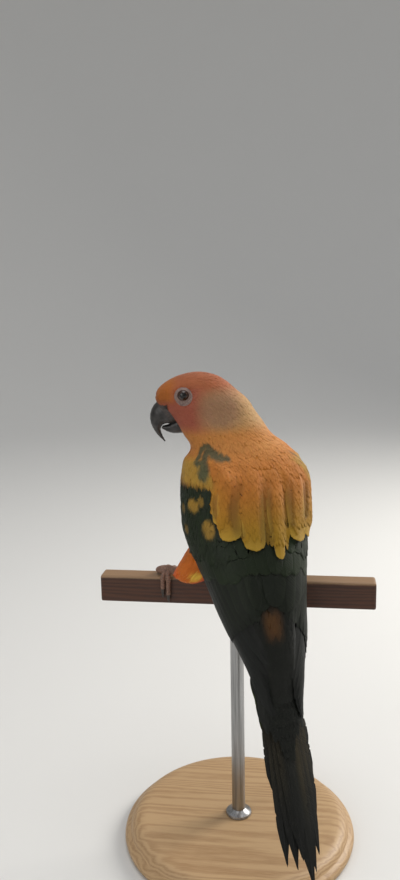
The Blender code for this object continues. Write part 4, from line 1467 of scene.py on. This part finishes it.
def lesser_coverts():
    """Short round feathers in staggered rows, laid from the lowest row upwards."""
    table = []
    for order, tip in enumerate(LESSER_ROWS):
        edge = outer_edge(min(tip, 31.0)) + ramp(tip, 31, 50) * 6
        for place in reversed(evenly_round(tip, 40.0, edge, LESSER_SPACING, 0.5 * (order % 2))):
            height, angle = tip + jitter(0.7), place + jitter(1.4)
            root, half = (height + 10, angle - 1), 3.1 + jitter(0.25)
            table.append(feather_row(half, root, (height, angle), 0.22, 0.25))
    return table


def long_coverts(tip, low, half, length):
    table = []
    for place in reversed(evenly_round(tip, low, outer_edge(tip) + 2, half * 1.25, 0.3)):
        height, angle = tip + 2.5 * ramp(place, 45, 15) + jitter(2.2), place + jitter(0.6)
        table.append(feather_row(half, (height + length, angle + 1), (height, angle), 0.12, 0.15))
    return table


def coverts(side):
    rows = [*long_coverts(13.5, 1.0, 4.8, 23.0), *long_coverts(23.0, 20.0, 4.0, 16.0), *lesser_coverts()]
    return mirrored(rows, side)


def covert_colour(height, angle):
    """Dark green of the wing's coverts, one tone for each feather, with the yellow spots."""
    count = len(height)
    green = mix(PLUMAGE["covert"], PLUMAGE["covert edge"], draw.uniform(0.05, 0.3, count))[:, None, None]
    yellow = ramp(height, 58.0, 60.0) * ramp(np.abs(angle), 47, 53)
    unevenness = draw.uniform(-0.08, 0.08, (count, 1, 1))
    for middle, place, up, across, strength in YELLOW_SPOTS:
        reach = np.hypot((height - middle) / up, (angle - place) * ROUND_SIDE / across)
        yellow = np.maximum(yellow, strength * ramp(reach + unevenness, 1.15, 0.8))
    tone = uneven(count, 0.05)
    return streaked(mix(green, PLUMAGE["shoulder yellow"], 0.95 * yellow) * tone, height, angle)


def covert_tint(table, along, columns, top):
    return covert_colour(*body_place(top)) * shaded_along(0.84, 0.16, along)


# the feathers under the notches between the lobes
SADDLE_NOTCHES = (
    (43.0, -56.0), (39.8, -41.6), (39.5, -22.1), (31.9, 0.5), (35.9, 21.8), (45.0, 46.0), (47.0, -68.0),
)
SADDLE_TOP = 76.0
LOBE_ARCH = 1.9


def saddle():
    """The long feathers that make the saddle's lobes; smaller ones are laid over them later."""
    table = [feather_row(5.0, (tip[0] + 26, tip[1] * 0.9), tip, 0.3, 0.2) for tip in SADDLE_NOTCHES]
    for height, angle, half, taper in SADDLE_LOBES:
        root = (min(height + 42, SADDLE_TOP), angle * 0.9)
        table.append(feather_row(half, root, (height, angle), LOBE_ARCH, taper))
    return table


def saddle_tint(table, along, columns, top):
    height, angle = body_place(top)
    rim = np.maximum(np.abs(columns) ** 3, ramp(along, 0.8, 1.0)[:, None])
    lowest = np.where(table[:, -1] > 1, 0.3, 0.1)[:, None, None]
    colour = mix(saddle_gold(height, angle), PLUMAGE["saddle edge"], lowest * rim * ramp(height, 66, 44))
    return streaked(colour * uneven(len(table), 0.03), height, angle)


# each kind of long wing feather: its rows and vane, what its name, its slot and its node start with, its
# colours and how dark its shaft is
LONG_FEATHERS = (
    (primaries, PRIMARY_VANE, "primary", "primary", "wing_primaries_", 0.35),
    (secondaries, FLIGHT_VANE, "secondary", "secondary", "wing_secondaries_", 0.3),
    (tertials, FLIGHT_VANE, "tertial", "secondary", None, 0.25),
)
for rows, vane, name, kind, node, depth in LONG_FEATHERS:
    for side in SIDES:
        tint = wing_tint(kind, kind + " edge", "primary", depth)
        nodes, slot = [node + side] if node else (), kind + "_feathers"
        large_feathers(name + "_feathers_" + side, rows(side), vane, lay_on_body, tint, "wing", slot, nodes)
for side in SIDES:
    look = (covert_tint, "wing", "covert_feathers", ["wing_coverts_" + side], 0.7)
    large_feathers("covert_feathers_" + side, coverts(side), COVERT_VANE, lay_on_body, *look)
look = (saddle_tint, "saddle", "saddle_feathers", ["scapulars_left", "scapulars_right"], 0.4)
large_feathers("saddle_feathers", saddle(), SADDLE_VANE, lay_on_body, *look)

# what the contour feathers lie on: those of neck and shoulders, and those over the lobes and the wings
GROOVE_DEPTH = 0.6
SUNK = GROOVE_DEPTH * in_grooves(*PILE_PLACES)
RESTING_PILE, LOBED_PILE = drape(PILE, 30) - SUNK, drape(PILE, 8) - SUNK

# ---------------------------------------------------------------- the tail
# from the outermost to the middle one: how far the tip is below the root, how far the middle line is
# from the tail's own at root and tip, and half the width
TAIL_FEATHERS = {
    "left": (
        (27.0, 5.6, 7.8, 4.2),
        (44.0, 5.6, 9.4, 4.2),
        (55.0, 5.4, 6.8, 4.0),
        (72.0, 4.6, 9.8, 3.6),
        (73.5, 3.4, 5.2, 4.0),
        (70.0, 2.0, 1.9, 4.2),
    ),
    "right": (
        (27.0, 8.2, 12.4, 4.8),
        (43.0, 8.2, 12.0, 4.6),
        (57.0, 8.0, 10.4, 4.6),
        (69.5, 6.0, 8.4, 3.8),
        (77.0, 3.6, 4.6, 3.8),
        (82.5, 1.6, 1.5, 4.4),
    ),
}
TAIL_ROOT = -50.0
TAIL_BASE = MM * np.array((*section(np.float64(TAIL_ROOT))[:2], TAIL_ROOT + PERCH_TOP / MM))
TAIL_TOP_LIFT = 2.4  # of the middle feathers over the tail's own line
TAIL_LAYER = 1.0  # from one feather to the next under it
TAIL_ARCH = 0.012  # how the tail falls off to its sides, by the square of the distance
TAIL_THICKNESS = 0.55
# the sign of each side, how much lower its layers are, and how strong the edges' colour is
TAIL_SIDES = {"left": (1, 0.0, 0.4), "right": (-1, 0.3, 0.75)}


def tail_spot(down, across, rise):
    """Points from the tail's root, in millimetres along it, to the left and out of the back."""
    down, across, rise = down[..., None], across[..., None], rise[..., None]
    return TAIL_BASE + MM * (down * TAILWARDS + across * LEFT + rise * OUT_OF_BACK)


def tail(side):
    table = []
    sign, sunk, _ = TAIL_SIDES[side]
    for order, (drop, root_middle, tip_middle, half) in enumerate(TAIL_FEATHERS[side]):
        layer = min(len(TAIL_FEATHERS[side]) - 1 - order, 3.4) + sunk
        length = (drop + jitter(0.6)) / math.sin(BODY_SLOPE)
        table.append((half, length, 0.0, root_middle, tip_middle, layer, sign))
    return table


def lay_in_tail(table, x, y, along, columns):
    """Lays feathers along the tail, one layer under another."""
    half, length, taper, root_middle, tip_middle, layer, side = table.T[..., None, None]
    across = root_middle + (tip_middle - root_middle) * y + x
    lift = TAIL_TOP_LIFT - layer * TAIL_LAYER - TAIL_ARCH * across**2 - 0.25 * (x / half) ** 2 * half / 4
    lift = lift + 0.1 * (np.abs(columns) < SHAFT_HALF)
    down, across, shaft = length * y, side * across, (..., len(columns) // 2)
    return tail_spot(down, across, lift), tail_spot(down[shaft], across[shaft], lift[shaft] - TAIL_THICKNESS)


def tail_tint(side):
    strength = TAIL_SIDES[side][2]

    def tint(table, along, columns, top):
        body = mix(PLUMAGE["tail"], PLUMAGE["tail tip"], ramp(along, 0.45, 0.95))[:, None]
        rim = ramp(columns, 0.0, 0.9) * ramp(along, 0.75, 0.35)[:, None]
        colour = mix(body, PLUMAGE["tail edge"], strength * rim * np.ones((len(table), 1, 1)))
        shaft = 0.4 * (np.abs(columns) < SHAFT_HALF)[:, None]
        return colour * uneven(len(table), 0.07) * (1 - shaft)

    return tint


for side in SIDES:
    nodes = ["tail_feather_%s_%d" % (side, index) for index in (1, 2, 3, 4)]
    look = (tail_tint(side), "wing", "tail_feathers", nodes)
    large_feathers("tail_feathers_" + side, tail(side), TAIL_VANE, lay_in_tail, *look)

# rows of feathers that close the body's end over and under the tail: how far their tips are below the
# tail's root, how far out the row reaches, and the feathers' length
TAIL_COVERTS = (
    (31.0, 2.4, 22.0), (26.0, 5.0, 22.0), (20.0, 9.0, 22.0), (15.0, 10.5, 20.0), (10.0, 11.2, 19.0),
    (5.0, 11.4, 18.0), (0.0, 11.6, 16.0),
)
TAIL_COVERT_SPACING = 2.3
# how far below the tail's root, and the thickness of the body's end there, above and below the tail's plane
BODY_END_OVER = ((-16.0, 10.8), (0.0, 6.6), (13.0, 4.1), (27.0, 3.2), (40.0, 2.8))
BODY_END_UNDER = ((-16.0, 10.8), (0.0, 7.6), (13.0, 4.4), (27.0, 3.4), (40.0, 3.2))
BODY_END_HALF = 12.2


def tail_coverts(sign):
    """Feathers over the tail for a sign of 1 and under it for -1."""
    table = []
    for order, (drop, reach, length) in enumerate(TAIL_COVERTS):
        places = np.arange(1.15 * (order % 2) - 10 * TAIL_COVERT_SPACING, reach, TAIL_COVERT_SPACING)
        for place in sorted(places[np.abs(places) < reach], key=abs, reverse=True):
            size = (2.6 + jitter(0.2), length + jitter(1.0), 0.55)
            table.append((*size, drop + jitter(1.4), place, sign, order))
    return table


def lay_over_tail(table, x, y, along, columns):
    """Lays coverts down the body's end and on along the tail."""
    half, length, taper, drop, place, sign, order = table.T[..., None, None]
    down = drop - length * (1 - y)
    across = place * (1 - 0.12 * ramp(down, 5, 30)) + x
    depth = np.where(sign > 0, read(BODY_END_OVER, down), read(BODY_END_UNDER, down))
    share = np.clip(np.abs(across) / BODY_END_HALF, 0, 1)
    depth = depth * (1 - share**2.2) ** (1 / 2.2)
    depth = depth - 0.3 + (0.55 + 0.14 * order) * y**0.7 - 0.1 * (x / half) ** 2
    shaft = (..., len(columns) // 2)
    under = tail_spot(down[shaft], across[shaft], (sign * (depth - 0.25))[shaft])
    return tail_spot(down, across, sign * depth), under


def tail_covert_tint(name):
    def tint(table, along, columns, top):
        shape = (len(table), len(along), len(columns), 1)
        return PLUMAGE[name] * uneven(len(table), 0.06) * shaded_along(0.8, 0.2, along) * np.ones(shape)

    return tint


for sign, name in ((1, "over"), (-1, "under")):
    look = (tail_covert_tint(name + " tail"), "wing", "covert_feathers")
    large_feathers("tail_coverts_" + name, tail_coverts(sign), COVERT_VANE, lay_over_tail, *look)


# ---------------------------------------------------------------- contour feathers
# the lower edge of what the folded wings cover: height and angle
COVERED_EDGE = (
    (-60, 22), (-46, 54), (-34, 76), (-20, 86), (-4, 95), (16, 104), (38, 112), (52, 112), (66, 96),
)
LOWEST_FEATHER = -56.0
CONTOUR_TRIES = 220000  # places on the skin that are tried for roots; those too near others are dropped
UPPER_TRIES = 160000
BRISTLES = 300


def covered(points):
    """True for places that the folded wings, the saddle or the horn of the bill hide."""
    height, angle = body_place(points)
    side = np.abs(angle)
    # the coat runs out raggedly over the saddle
    top = 62 + draw.uniform(-1, 1, len(side)) * (1 + 3 * ramp(side, 56, 40))
    hidden = (side < read(COVERED_EDGE, height)) & (height < top) & (height > -50)
    rump = ((height < 5) & (side < 29)) | ((height < -12) & (side < 52))
    return (hidden & ~rump) | inside_bill(points)


def on_saddle(height, angle, above, beside):
    """True for places on the lobes: over their tips and inside their edges by so many millimetres."""
    found = np.zeros(np.shape(height), bool)
    for tip, middle, half, _ in SADDLE_LOBES:
        found |= (height > tip + above) & (np.abs(angle - middle) * ROUND_SIDE < half - beside)
    return found


def contour_roots():
    """Places and normals of the roots of the coat, without the hidden ones."""
    points, normals = scatter(CONTOUR_TRIES)
    bare = covered(points) | (points[:, 2] < PERCH_TOP + LOWEST_FEATHER * MM)
    forward, up, left = head_place(points)
    bare |= past_bill_base(forward, up) > 0
    for side in SIDES:
        along, around = from_eye(points + MM * RING_DROP * UP, side)
        bare |= (along > 0) & (around < BARE_RING + draw.uniform(-0.5, 0.1, len(points)))
    return points[~bare], normals[~bare]


def contour_tint(roots, places, along, across):
    """Colours of contour feathers: the body's marking, a little uneven from one to the next."""
    middle = places[:, places.shape[1] // 2, places.shape[2] // 2]
    base = 0.4 * marking(middle)[:, None, None] + 0.6 * marking(places)
    tone = uneven(len(roots), 0.03)
    warm = 1 + draw.normal(0, 0.015, (len(roots), 1, 1, 3))
    return base * tone * warm * shaded_along(0.9, 0.12, along)


def saddle_coat_tint(roots, places, along, across):
    height, angle = body_place(places)
    colour = saddle_gold(height, angle) * uneven(len(roots), 0.03) * shaded_along(0.92, 0.1, along)
    return streaked(colour, height, angle)


def covert_coat_tint(roots, places, along, across):
    return covert_colour(*body_place(places)) * shaded_along(0.9, 0.12, along)


def make_upper_coat():
    """Small soft feathers over the saddle's lobes and the wings' shoulders."""
    points, normals = scatter(UPPER_TRIES)
    height, angle = body_place(points)
    side = np.abs(angle)
    hidden = covered(points)
    ragged = draw.uniform(0, 1, len(points))
    gold = on_saddle(height, angle, 10.0 + 4 * ragged, 0.9) | ((height > 53 + 4 * ragged) & (side < 52))
    gold &= height < 70
    green = (height > 25 + 3 * ragged) & (height < 70) & (side > 38) & (side < outer_edge(height) - 2)
    green &= ~on_saddle(height, angle, -1.0, -0.9) & ~on_saddle(height - 6.5, angle, -1.0, -0.9)
    notch = (side < 50) & (height > 40)
    coats = (
        ("saddle_coat", hidden & gold, 5, "contour", "saddle_feathers", saddle_coat_tint),
        ("wing_coat", hidden & green & ~notch, 3, "wing", "covert_feathers", covert_coat_tint),
    )
    for name, chosen, columns, *look in coats:
        count = int(chosen.sum())
        roots, around = points[chosen], normals[chosen]
        flows = swayed(lie_of_coat(roots, around), around, 0.07)
        length = coat_size(roots) * draw.uniform(0.85, 1.05, count)
        half = (0.14 * length + 0.15) * draw.uniform(0.9, 1.1, count)
        rise = coat_depth(roots) * draw.uniform(0.8, 1.05, count)
        plumage(name, (roots, around, flows, length, half, rise), 6, columns, *look, lobed=True)


def make_contour_feathers():
    points, normals = contour_roots()
    size = coat_size(points)
    height, angle = body_place(points)
    count = len(points)
    flows = swayed(lie_of_coat(points, normals), normals, 0.09)
    length = size * draw.uniform(0.9, 1.12, count)
    half = (0.14 * size + 0.1 + 0.4 * ramp(height, 0, -10)) * draw.uniform(0.88, 1.12, count)
    rise = coat_depth(points) * draw.uniform(0.8, 1.05, count)
    out, down = leg_place(points)
    leg = out < 1.0
    # the thigh's feathers lengthen downwards into loose trousers
    length = np.where(leg, length * (1 + 1.1 * down), length)
    rise = np.where(leg, rise * (1 + 1.4 * down), rise)
    coat = (points, normals, flows, length, half, rise)
    back, fine = np.abs(angle) < 75, size < 3.6
    head, neck = ~leg & (height > 84), ~leg & (height <= 84) & (height > 66)
    # the name and the feathers of each part, and the rows and columns of a feather's points
    parts = (
        ("face", head & fine, 5, 3),
        ("nape", head & ~fine, 6, 3),
        ("neck", neck & back, 6, 5),
        ("throat", neck & ~back, 6, 3),
        ("shoulder", ~leg & (height <= 66) & (height > 50), 6, 5),
        ("breast", ~leg & (height <= 50) & (height > 22), 6, 3),
        ("belly", ~leg & (height <= 22) & (height > -8), 6, 3),
        ("vent", ~leg & (height <= -8), 6, 5),
        ("thigh", leg, 6, 5),
    )
    for name, chosen, rows, columns in parts:
        slot = "head_feathers" if name in ("face", "nape") else "body_feathers"
        look = ("contour", slot, contour_tint, False, 0.5 if name == "thigh" else COAT_SOFTNESS)
        plumage(name + "_feathers", [part[chosen] for part in coat], rows, columns, *look)


def make_bristles():
    """Short ragged feathers of the forehead that lean forward over the base of the bill."""
    forward, up, left = head_place(SKIN_POINTS)
    chosen = np.flatnonzero((forward > 14) & (up > 1.6) & (up < 6.5) & (np.abs(left) < 9))
    chosen = draw.choice(chosen, BRISTLES)
    points, normals = SKIN_POINTS[chosen] + MM * draw.normal(0, 0.4, (BRISTLES, 3)), SKIN_NORMALS[chosen]
    flows = 0.7 * FACING - 0.6 * UP + draw.normal(0, 0.2, (BRISTLES, 3))
    sizes = [draw.uniform(low, high, BRISTLES) for low, high in ((2.0, 3.1), (0.28, 0.42), (0.5, 1.3))]
    coat = (points, normals, flows, *sizes)
    plumage("bristle_feathers", coat, 5, 3, "contour", "head_feathers", contour_tint)


make_contour_feathers()
make_upper_coat()
make_bristles()

# ---------------------------------------------------------------- feet and claws
FOOT_VOXEL = 0.00026
TUBE_SIDES = 20
JOINT_SPACING = 4.6
SCUTE = 1.3  # length of the raised plates across the tops of the toes and up the shank


def toe_line(foot_x, toe, start, steps):
    """A toe's centre line over the perch and down its face: x, y, height and radius."""
    turn, length = TOES[toe]
    direction = (-math.sin(math.radians(turn)), math.cos(math.radians(turn)))
    clear = TOE_RADIUS + GAP
    reach = PERCH_DEPTH / 2 / abs(direction[1])
    bend = clear * math.pi / 2
    line = []
    for step in range(steps + 1):
        share = step / steps
        travel = start + (length - start) * share
        radius = TOE_RADIUS + (TOE_TIP_RADIUS - TOE_RADIUS) * share
        if travel <= reach:
            out, height = travel, clear
        elif travel <= reach + bend:
            curl = (travel - reach) / clear
            out, height = reach + clear * math.sin(curl), clear * math.cos(curl)
        else:
            out, height = reach + clear, reach + bend - travel
        line.append((foot_x + direction[0] * out, direction[1] * out, height, radius))
    return np.array(line)


def tube(name, line, sides):
    """A closed tube round a line of (x, y, height, radius)."""
    centres = perch_point(*line[:, :3].T).T
    tangent = unit(np.gradient(centres, axis=0))
    guide = np.array((1.0, 0.0, 0.0))
    across = unit(guide - (tangent @ guide)[:, None] * tangent)
    other = np.cross(tangent, across)
    turn = np.linspace(0, 2 * np.pi, sides, endpoint=False)[:, None]
    ring = np.cos(turn) * across[:, None] + np.sin(turn) * other[:, None]
    return ringed(name, centres[:, None] + MM * line[:, 3, None, None] * ring)


def make_foot(side):
    """The scaly skin of shank, ball and toes, fused and scored with scutes."""
    foot_x = FOOT_X[side]
    parts = [put("shank", tube("shank", smooth_rows(SHANKS[side], 8), TUBE_SIDES))]
    for toe, (_, length) in TOES.items():
        line = toe_line(foot_x, toe, 0.4, 60)
        travel = np.linspace(0, length, len(line))
        joints = 0.07 * np.cos(travel * 2 * np.pi / JOINT_SPACING)
        line[:, 3] *= 0.98 + joints * ramp(travel, 1, 4)
        parts.append(put("toe", tube("toe", line, TUBE_SIDES)))
    bpy.ops.mesh.primitive_uv_sphere_add(segments=32, ring_count=16, radius=1.0)
    pad = bpy.context.object
    middle = perch_point(foot_x + math.copysign(PAD_SHIFT, foot_x), 0.0, PAD[2] + GAP)
    set_points(pad.data, get_points(pad.data) * np.array(PAD) * MM + middle)
    foot = fuse([*parts, pad])
    remesh(foot, FOOT_VOXEL, 4)
    mesh = taken(foot)
    points, normals = get_points(mesh), get_normals(mesh)
    centre = perch_point(foot_x, 0.0, 2.0)
    travel = np.linalg.norm(points - centre, axis=-1) / MM
    saw = (travel / SCUTE) % 1.0
    plate = 0.13 * (saw**0.5 - 0.6) * ramp(travel, 2.0, 4.0)
    shown = ramp((normals * unit(points - centre + MM * np.array((0, 0, 3.0)))).sum(-1), -0.4, 0.3)
    pimples = 0.05 * np.sin(points / MM * 7).prod(-1)
    set_points(mesh, points + MM * (plate * shown + pimples)[:, None] * normals)
    mesh.shade_smooth()
    nodes = ["foot_" + side] + ["toe_%s_%d" % (side, toe) for toe in TOES]
    show("foot_skin_" + side, mesh, "foot", "bare_skin", nodes)


def make_claw(side, toe):
    line = toe_line(FOOT_X[side], toe, 1.5, 6)
    start, way = line[-1, :3], unit(line[-1, :3] - line[-2, :3])
    start = start - 0.5 * way
    inwards = -1.0 if start[1] > 0 else 1.0
    places = []
    for share in np.linspace(0, 1, 22):
        turned = inwards * (0.9 * share**2 - 0.35 * share)
        place = start + way * (CLAW_LENGTH + 0.6) * share + np.array((0, turned, 0))
        places.append((*place, 1.12 * (1 - share) ** 0.7 + 0.12))
    name = "claw_%s_%d" % (side, toe)
    show("horn_" + name, tube(name, np.array(places), 16), "claw", "claw_horn", [name])


for side in SIDES:
    make_foot(side)
    for toe in TOES:
        make_claw(side, toe)

# ---------------------------------------------------------------- perch and stand
# half outlines of the turned base and of the rod: radius and height
BASE_PROFILE = (
    (0.0, 0.0), (66.5, 0.0), (68.5, 0.5), (69.6, 1.6), (70.0, 3.2), (69.6, 4.8), (68.4, 6.0), (66.8, 6.6),
    (66.2, 7.2), (65.8, 8.4), (64.6, 9.8), (62.6, 11.0), (60.0, 11.7), (56.0, 12.0), (6.0, 12.0),
    (0.0, 12.0),
)
ROD_PROFILE = (
    (0.0, 12.05), (7.6, 12.05), (7.9, 12.5), (7.6, 13.6), (5.2, 14.6), (4.0, 15.6), (4.0, 145.2),
    (5.4, 145.8), (5.9, 146.6), (5.9, 148.2), (5.6, 148.7), (0.0, 148.7),
)


def finish_node(name, finish):
    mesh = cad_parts[name].data
    for index in range(len(mesh.materials)):
        mesh.materials[index] = FINISH[finish]
    if not mesh.materials:
        mesh.materials.append(FINISH[finish])


def spun(name, profile, segments):
    """A mesh spun round the stand's axis from its half outline of radii and heights."""
    edges = [(index, index + 1) for index in range(len(profile) - 1)]
    outline = bpy.data.meshes.new(name)
    outline.from_pydata([(radius * MM, 0.0, height * MM) for radius, height in profile], edges, [])
    item = put(name + "_outline", outline)
    steps = {"steps": segments, "render_steps": segments}
    apply_modifier(item, "SCREW", use_merge_vertices=True, merge_threshold=0.00001, **steps)
    mesh = taken(item)
    face_outwards(mesh, 1e-6)
    return mesh


def turned_piece(name, profile, segments, finish, slot, node):
    """A closed piece turned on a lathe."""
    mesh = spun(name, profile, segments)
    mesh.set_sharp_from_angle(angle=math.radians(40))
    return show(name, mesh, finish, slot, [node])


finish_node("perch", "perch")
turned_piece("stand_turned_base", BASE_PROFILE, 160, "base", "stand_wood", "stand_base")
turned_piece("stand_steel_rod", ROD_PROFILE, 64, "steel", "stand_steel", "stand_rod")

# ---------------------------------------------------------------- floor, light and camera
COVE_FLAT = 1.5  # radius of the level floor, in metres; past it the floor curves up into the wall
COVE_BEND = 1.6
COVE_HEIGHT = 3.4
FLOOR_DROP = 0.1  # millimetres under the base


def make_floor():
    """A level floor that sweeps up all round into a plain wall, so that no edge shows behind the model."""
    turn = np.linspace(0, math.pi / 2, 25)
    curve = [(COVE_FLAT + COVE_BEND * math.sin(angle), COVE_BEND * (1 - math.cos(angle))) for angle in turn]
    profile = [(0.0, 0.0), (0.2, 0.0), (0.6, 0.0), (1.0, 0.0), *curve, (COVE_FLAT + COVE_BEND, COVE_HEIGHT)]
    mesh = spun("floor", [(radius / MM, height / MM - FLOOR_DROP) for radius, height in profile], 96)
    floor = put("floor", mesh)
    mesh.flip_normals()
    mesh.shade_smooth()
    # matt paint with no gloss to speak of
    finish, _ = new_material("matt_pale_studio_paint", 0.9, Base_Color=colour_value("#DAD9D6"))
    mesh.materials.append(finish)
    floor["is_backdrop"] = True


def soft_light(name, place, target_height, size, power, colour):
    lamp = bpy.data.lights.new(name, "AREA")
    lamp.shape = "DISK"
    lamp.size = size
    lamp.energy = power
    lamp.color = colour
    item = put(name, lamp)
    item.location = place
    way = Vector((0.0, 0.0, target_height)) - Vector(place)
    item.rotation_euler = way.to_track_quat("-Z", "Y").to_euler()


make_floor()
world = bpy.data.worlds.new("soft_room")
world.use_nodes = True
world.node_tree.nodes["Background"].inputs["Color"].default_value = (0.86, 0.88, 0.92, 1.0)
world.node_tree.nodes["Background"].inputs["Strength"].default_value = 0.62
bpy.context.scene.world = world
soft_light("key", (0.85, 0.6, 0.7), 0.2, 0.6, 13.0, (1.0, 0.97, 0.92))
soft_light("fill", (-0.7, -1.0, 0.7), 0.17, 1.0, 4.0, (1.0, 0.98, 0.96))
soft_light("top", (0.1, -0.1, 1.3), 0.15, 0.8, 4.0, (1.0, 1.0, 1.0))
bpy.context.scene.view_settings.view_transform = "Standard"

CAMERA_PLACE = (0.0429, -0.4462, 0.3267)
CAMERA_TURN = 8.0  # degrees to the left of +Y
CAMERA_PITCH = math.radians(10.21)  # below level
CAMERA_ROLL = math.radians(1.078)
FOCAL_PIXELS = 804.0
FRAME_PIXELS = 880.0  # the frame's longer side
SENSOR_WIDTH = 36.0


def make_camera():
    level, left = heading(np.float64(CAMERA_TURN))
    ahead = math.cos(CAMERA_PITCH) * level - math.sin(CAMERA_PITCH) * UP
    down = -(math.sin(CAMERA_PITCH) * level + math.cos(CAMERA_PITCH) * UP)
    right = math.cos(CAMERA_ROLL) * -left + math.sin(CAMERA_ROLL) * down
    down = math.sin(CAMERA_ROLL) * left + math.cos(CAMERA_ROLL) * down
    lens = bpy.data.cameras.new("camera")
    lens.sensor_fit = "AUTO"
    lens.sensor_width = SENSOR_WIDTH
    lens.lens = SENSOR_WIDTH * FOCAL_PIXELS / FRAME_PIXELS
    lens.clip_start = 0.01
    camera = put("camera", lens)
    turn = Matrix((right, -down, -ahead)).transposed().to_4x4()
    camera.matrix_world = Matrix.Translation(CAMERA_PLACE) @ turn
    bpy.context.scene.camera = camera


make_camera()


def plain(box):
    return [[float(value) for value in corner] for corner in box]


str({"cad": plain(cad_box), "visual": plain(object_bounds())}).replace("'", '"')
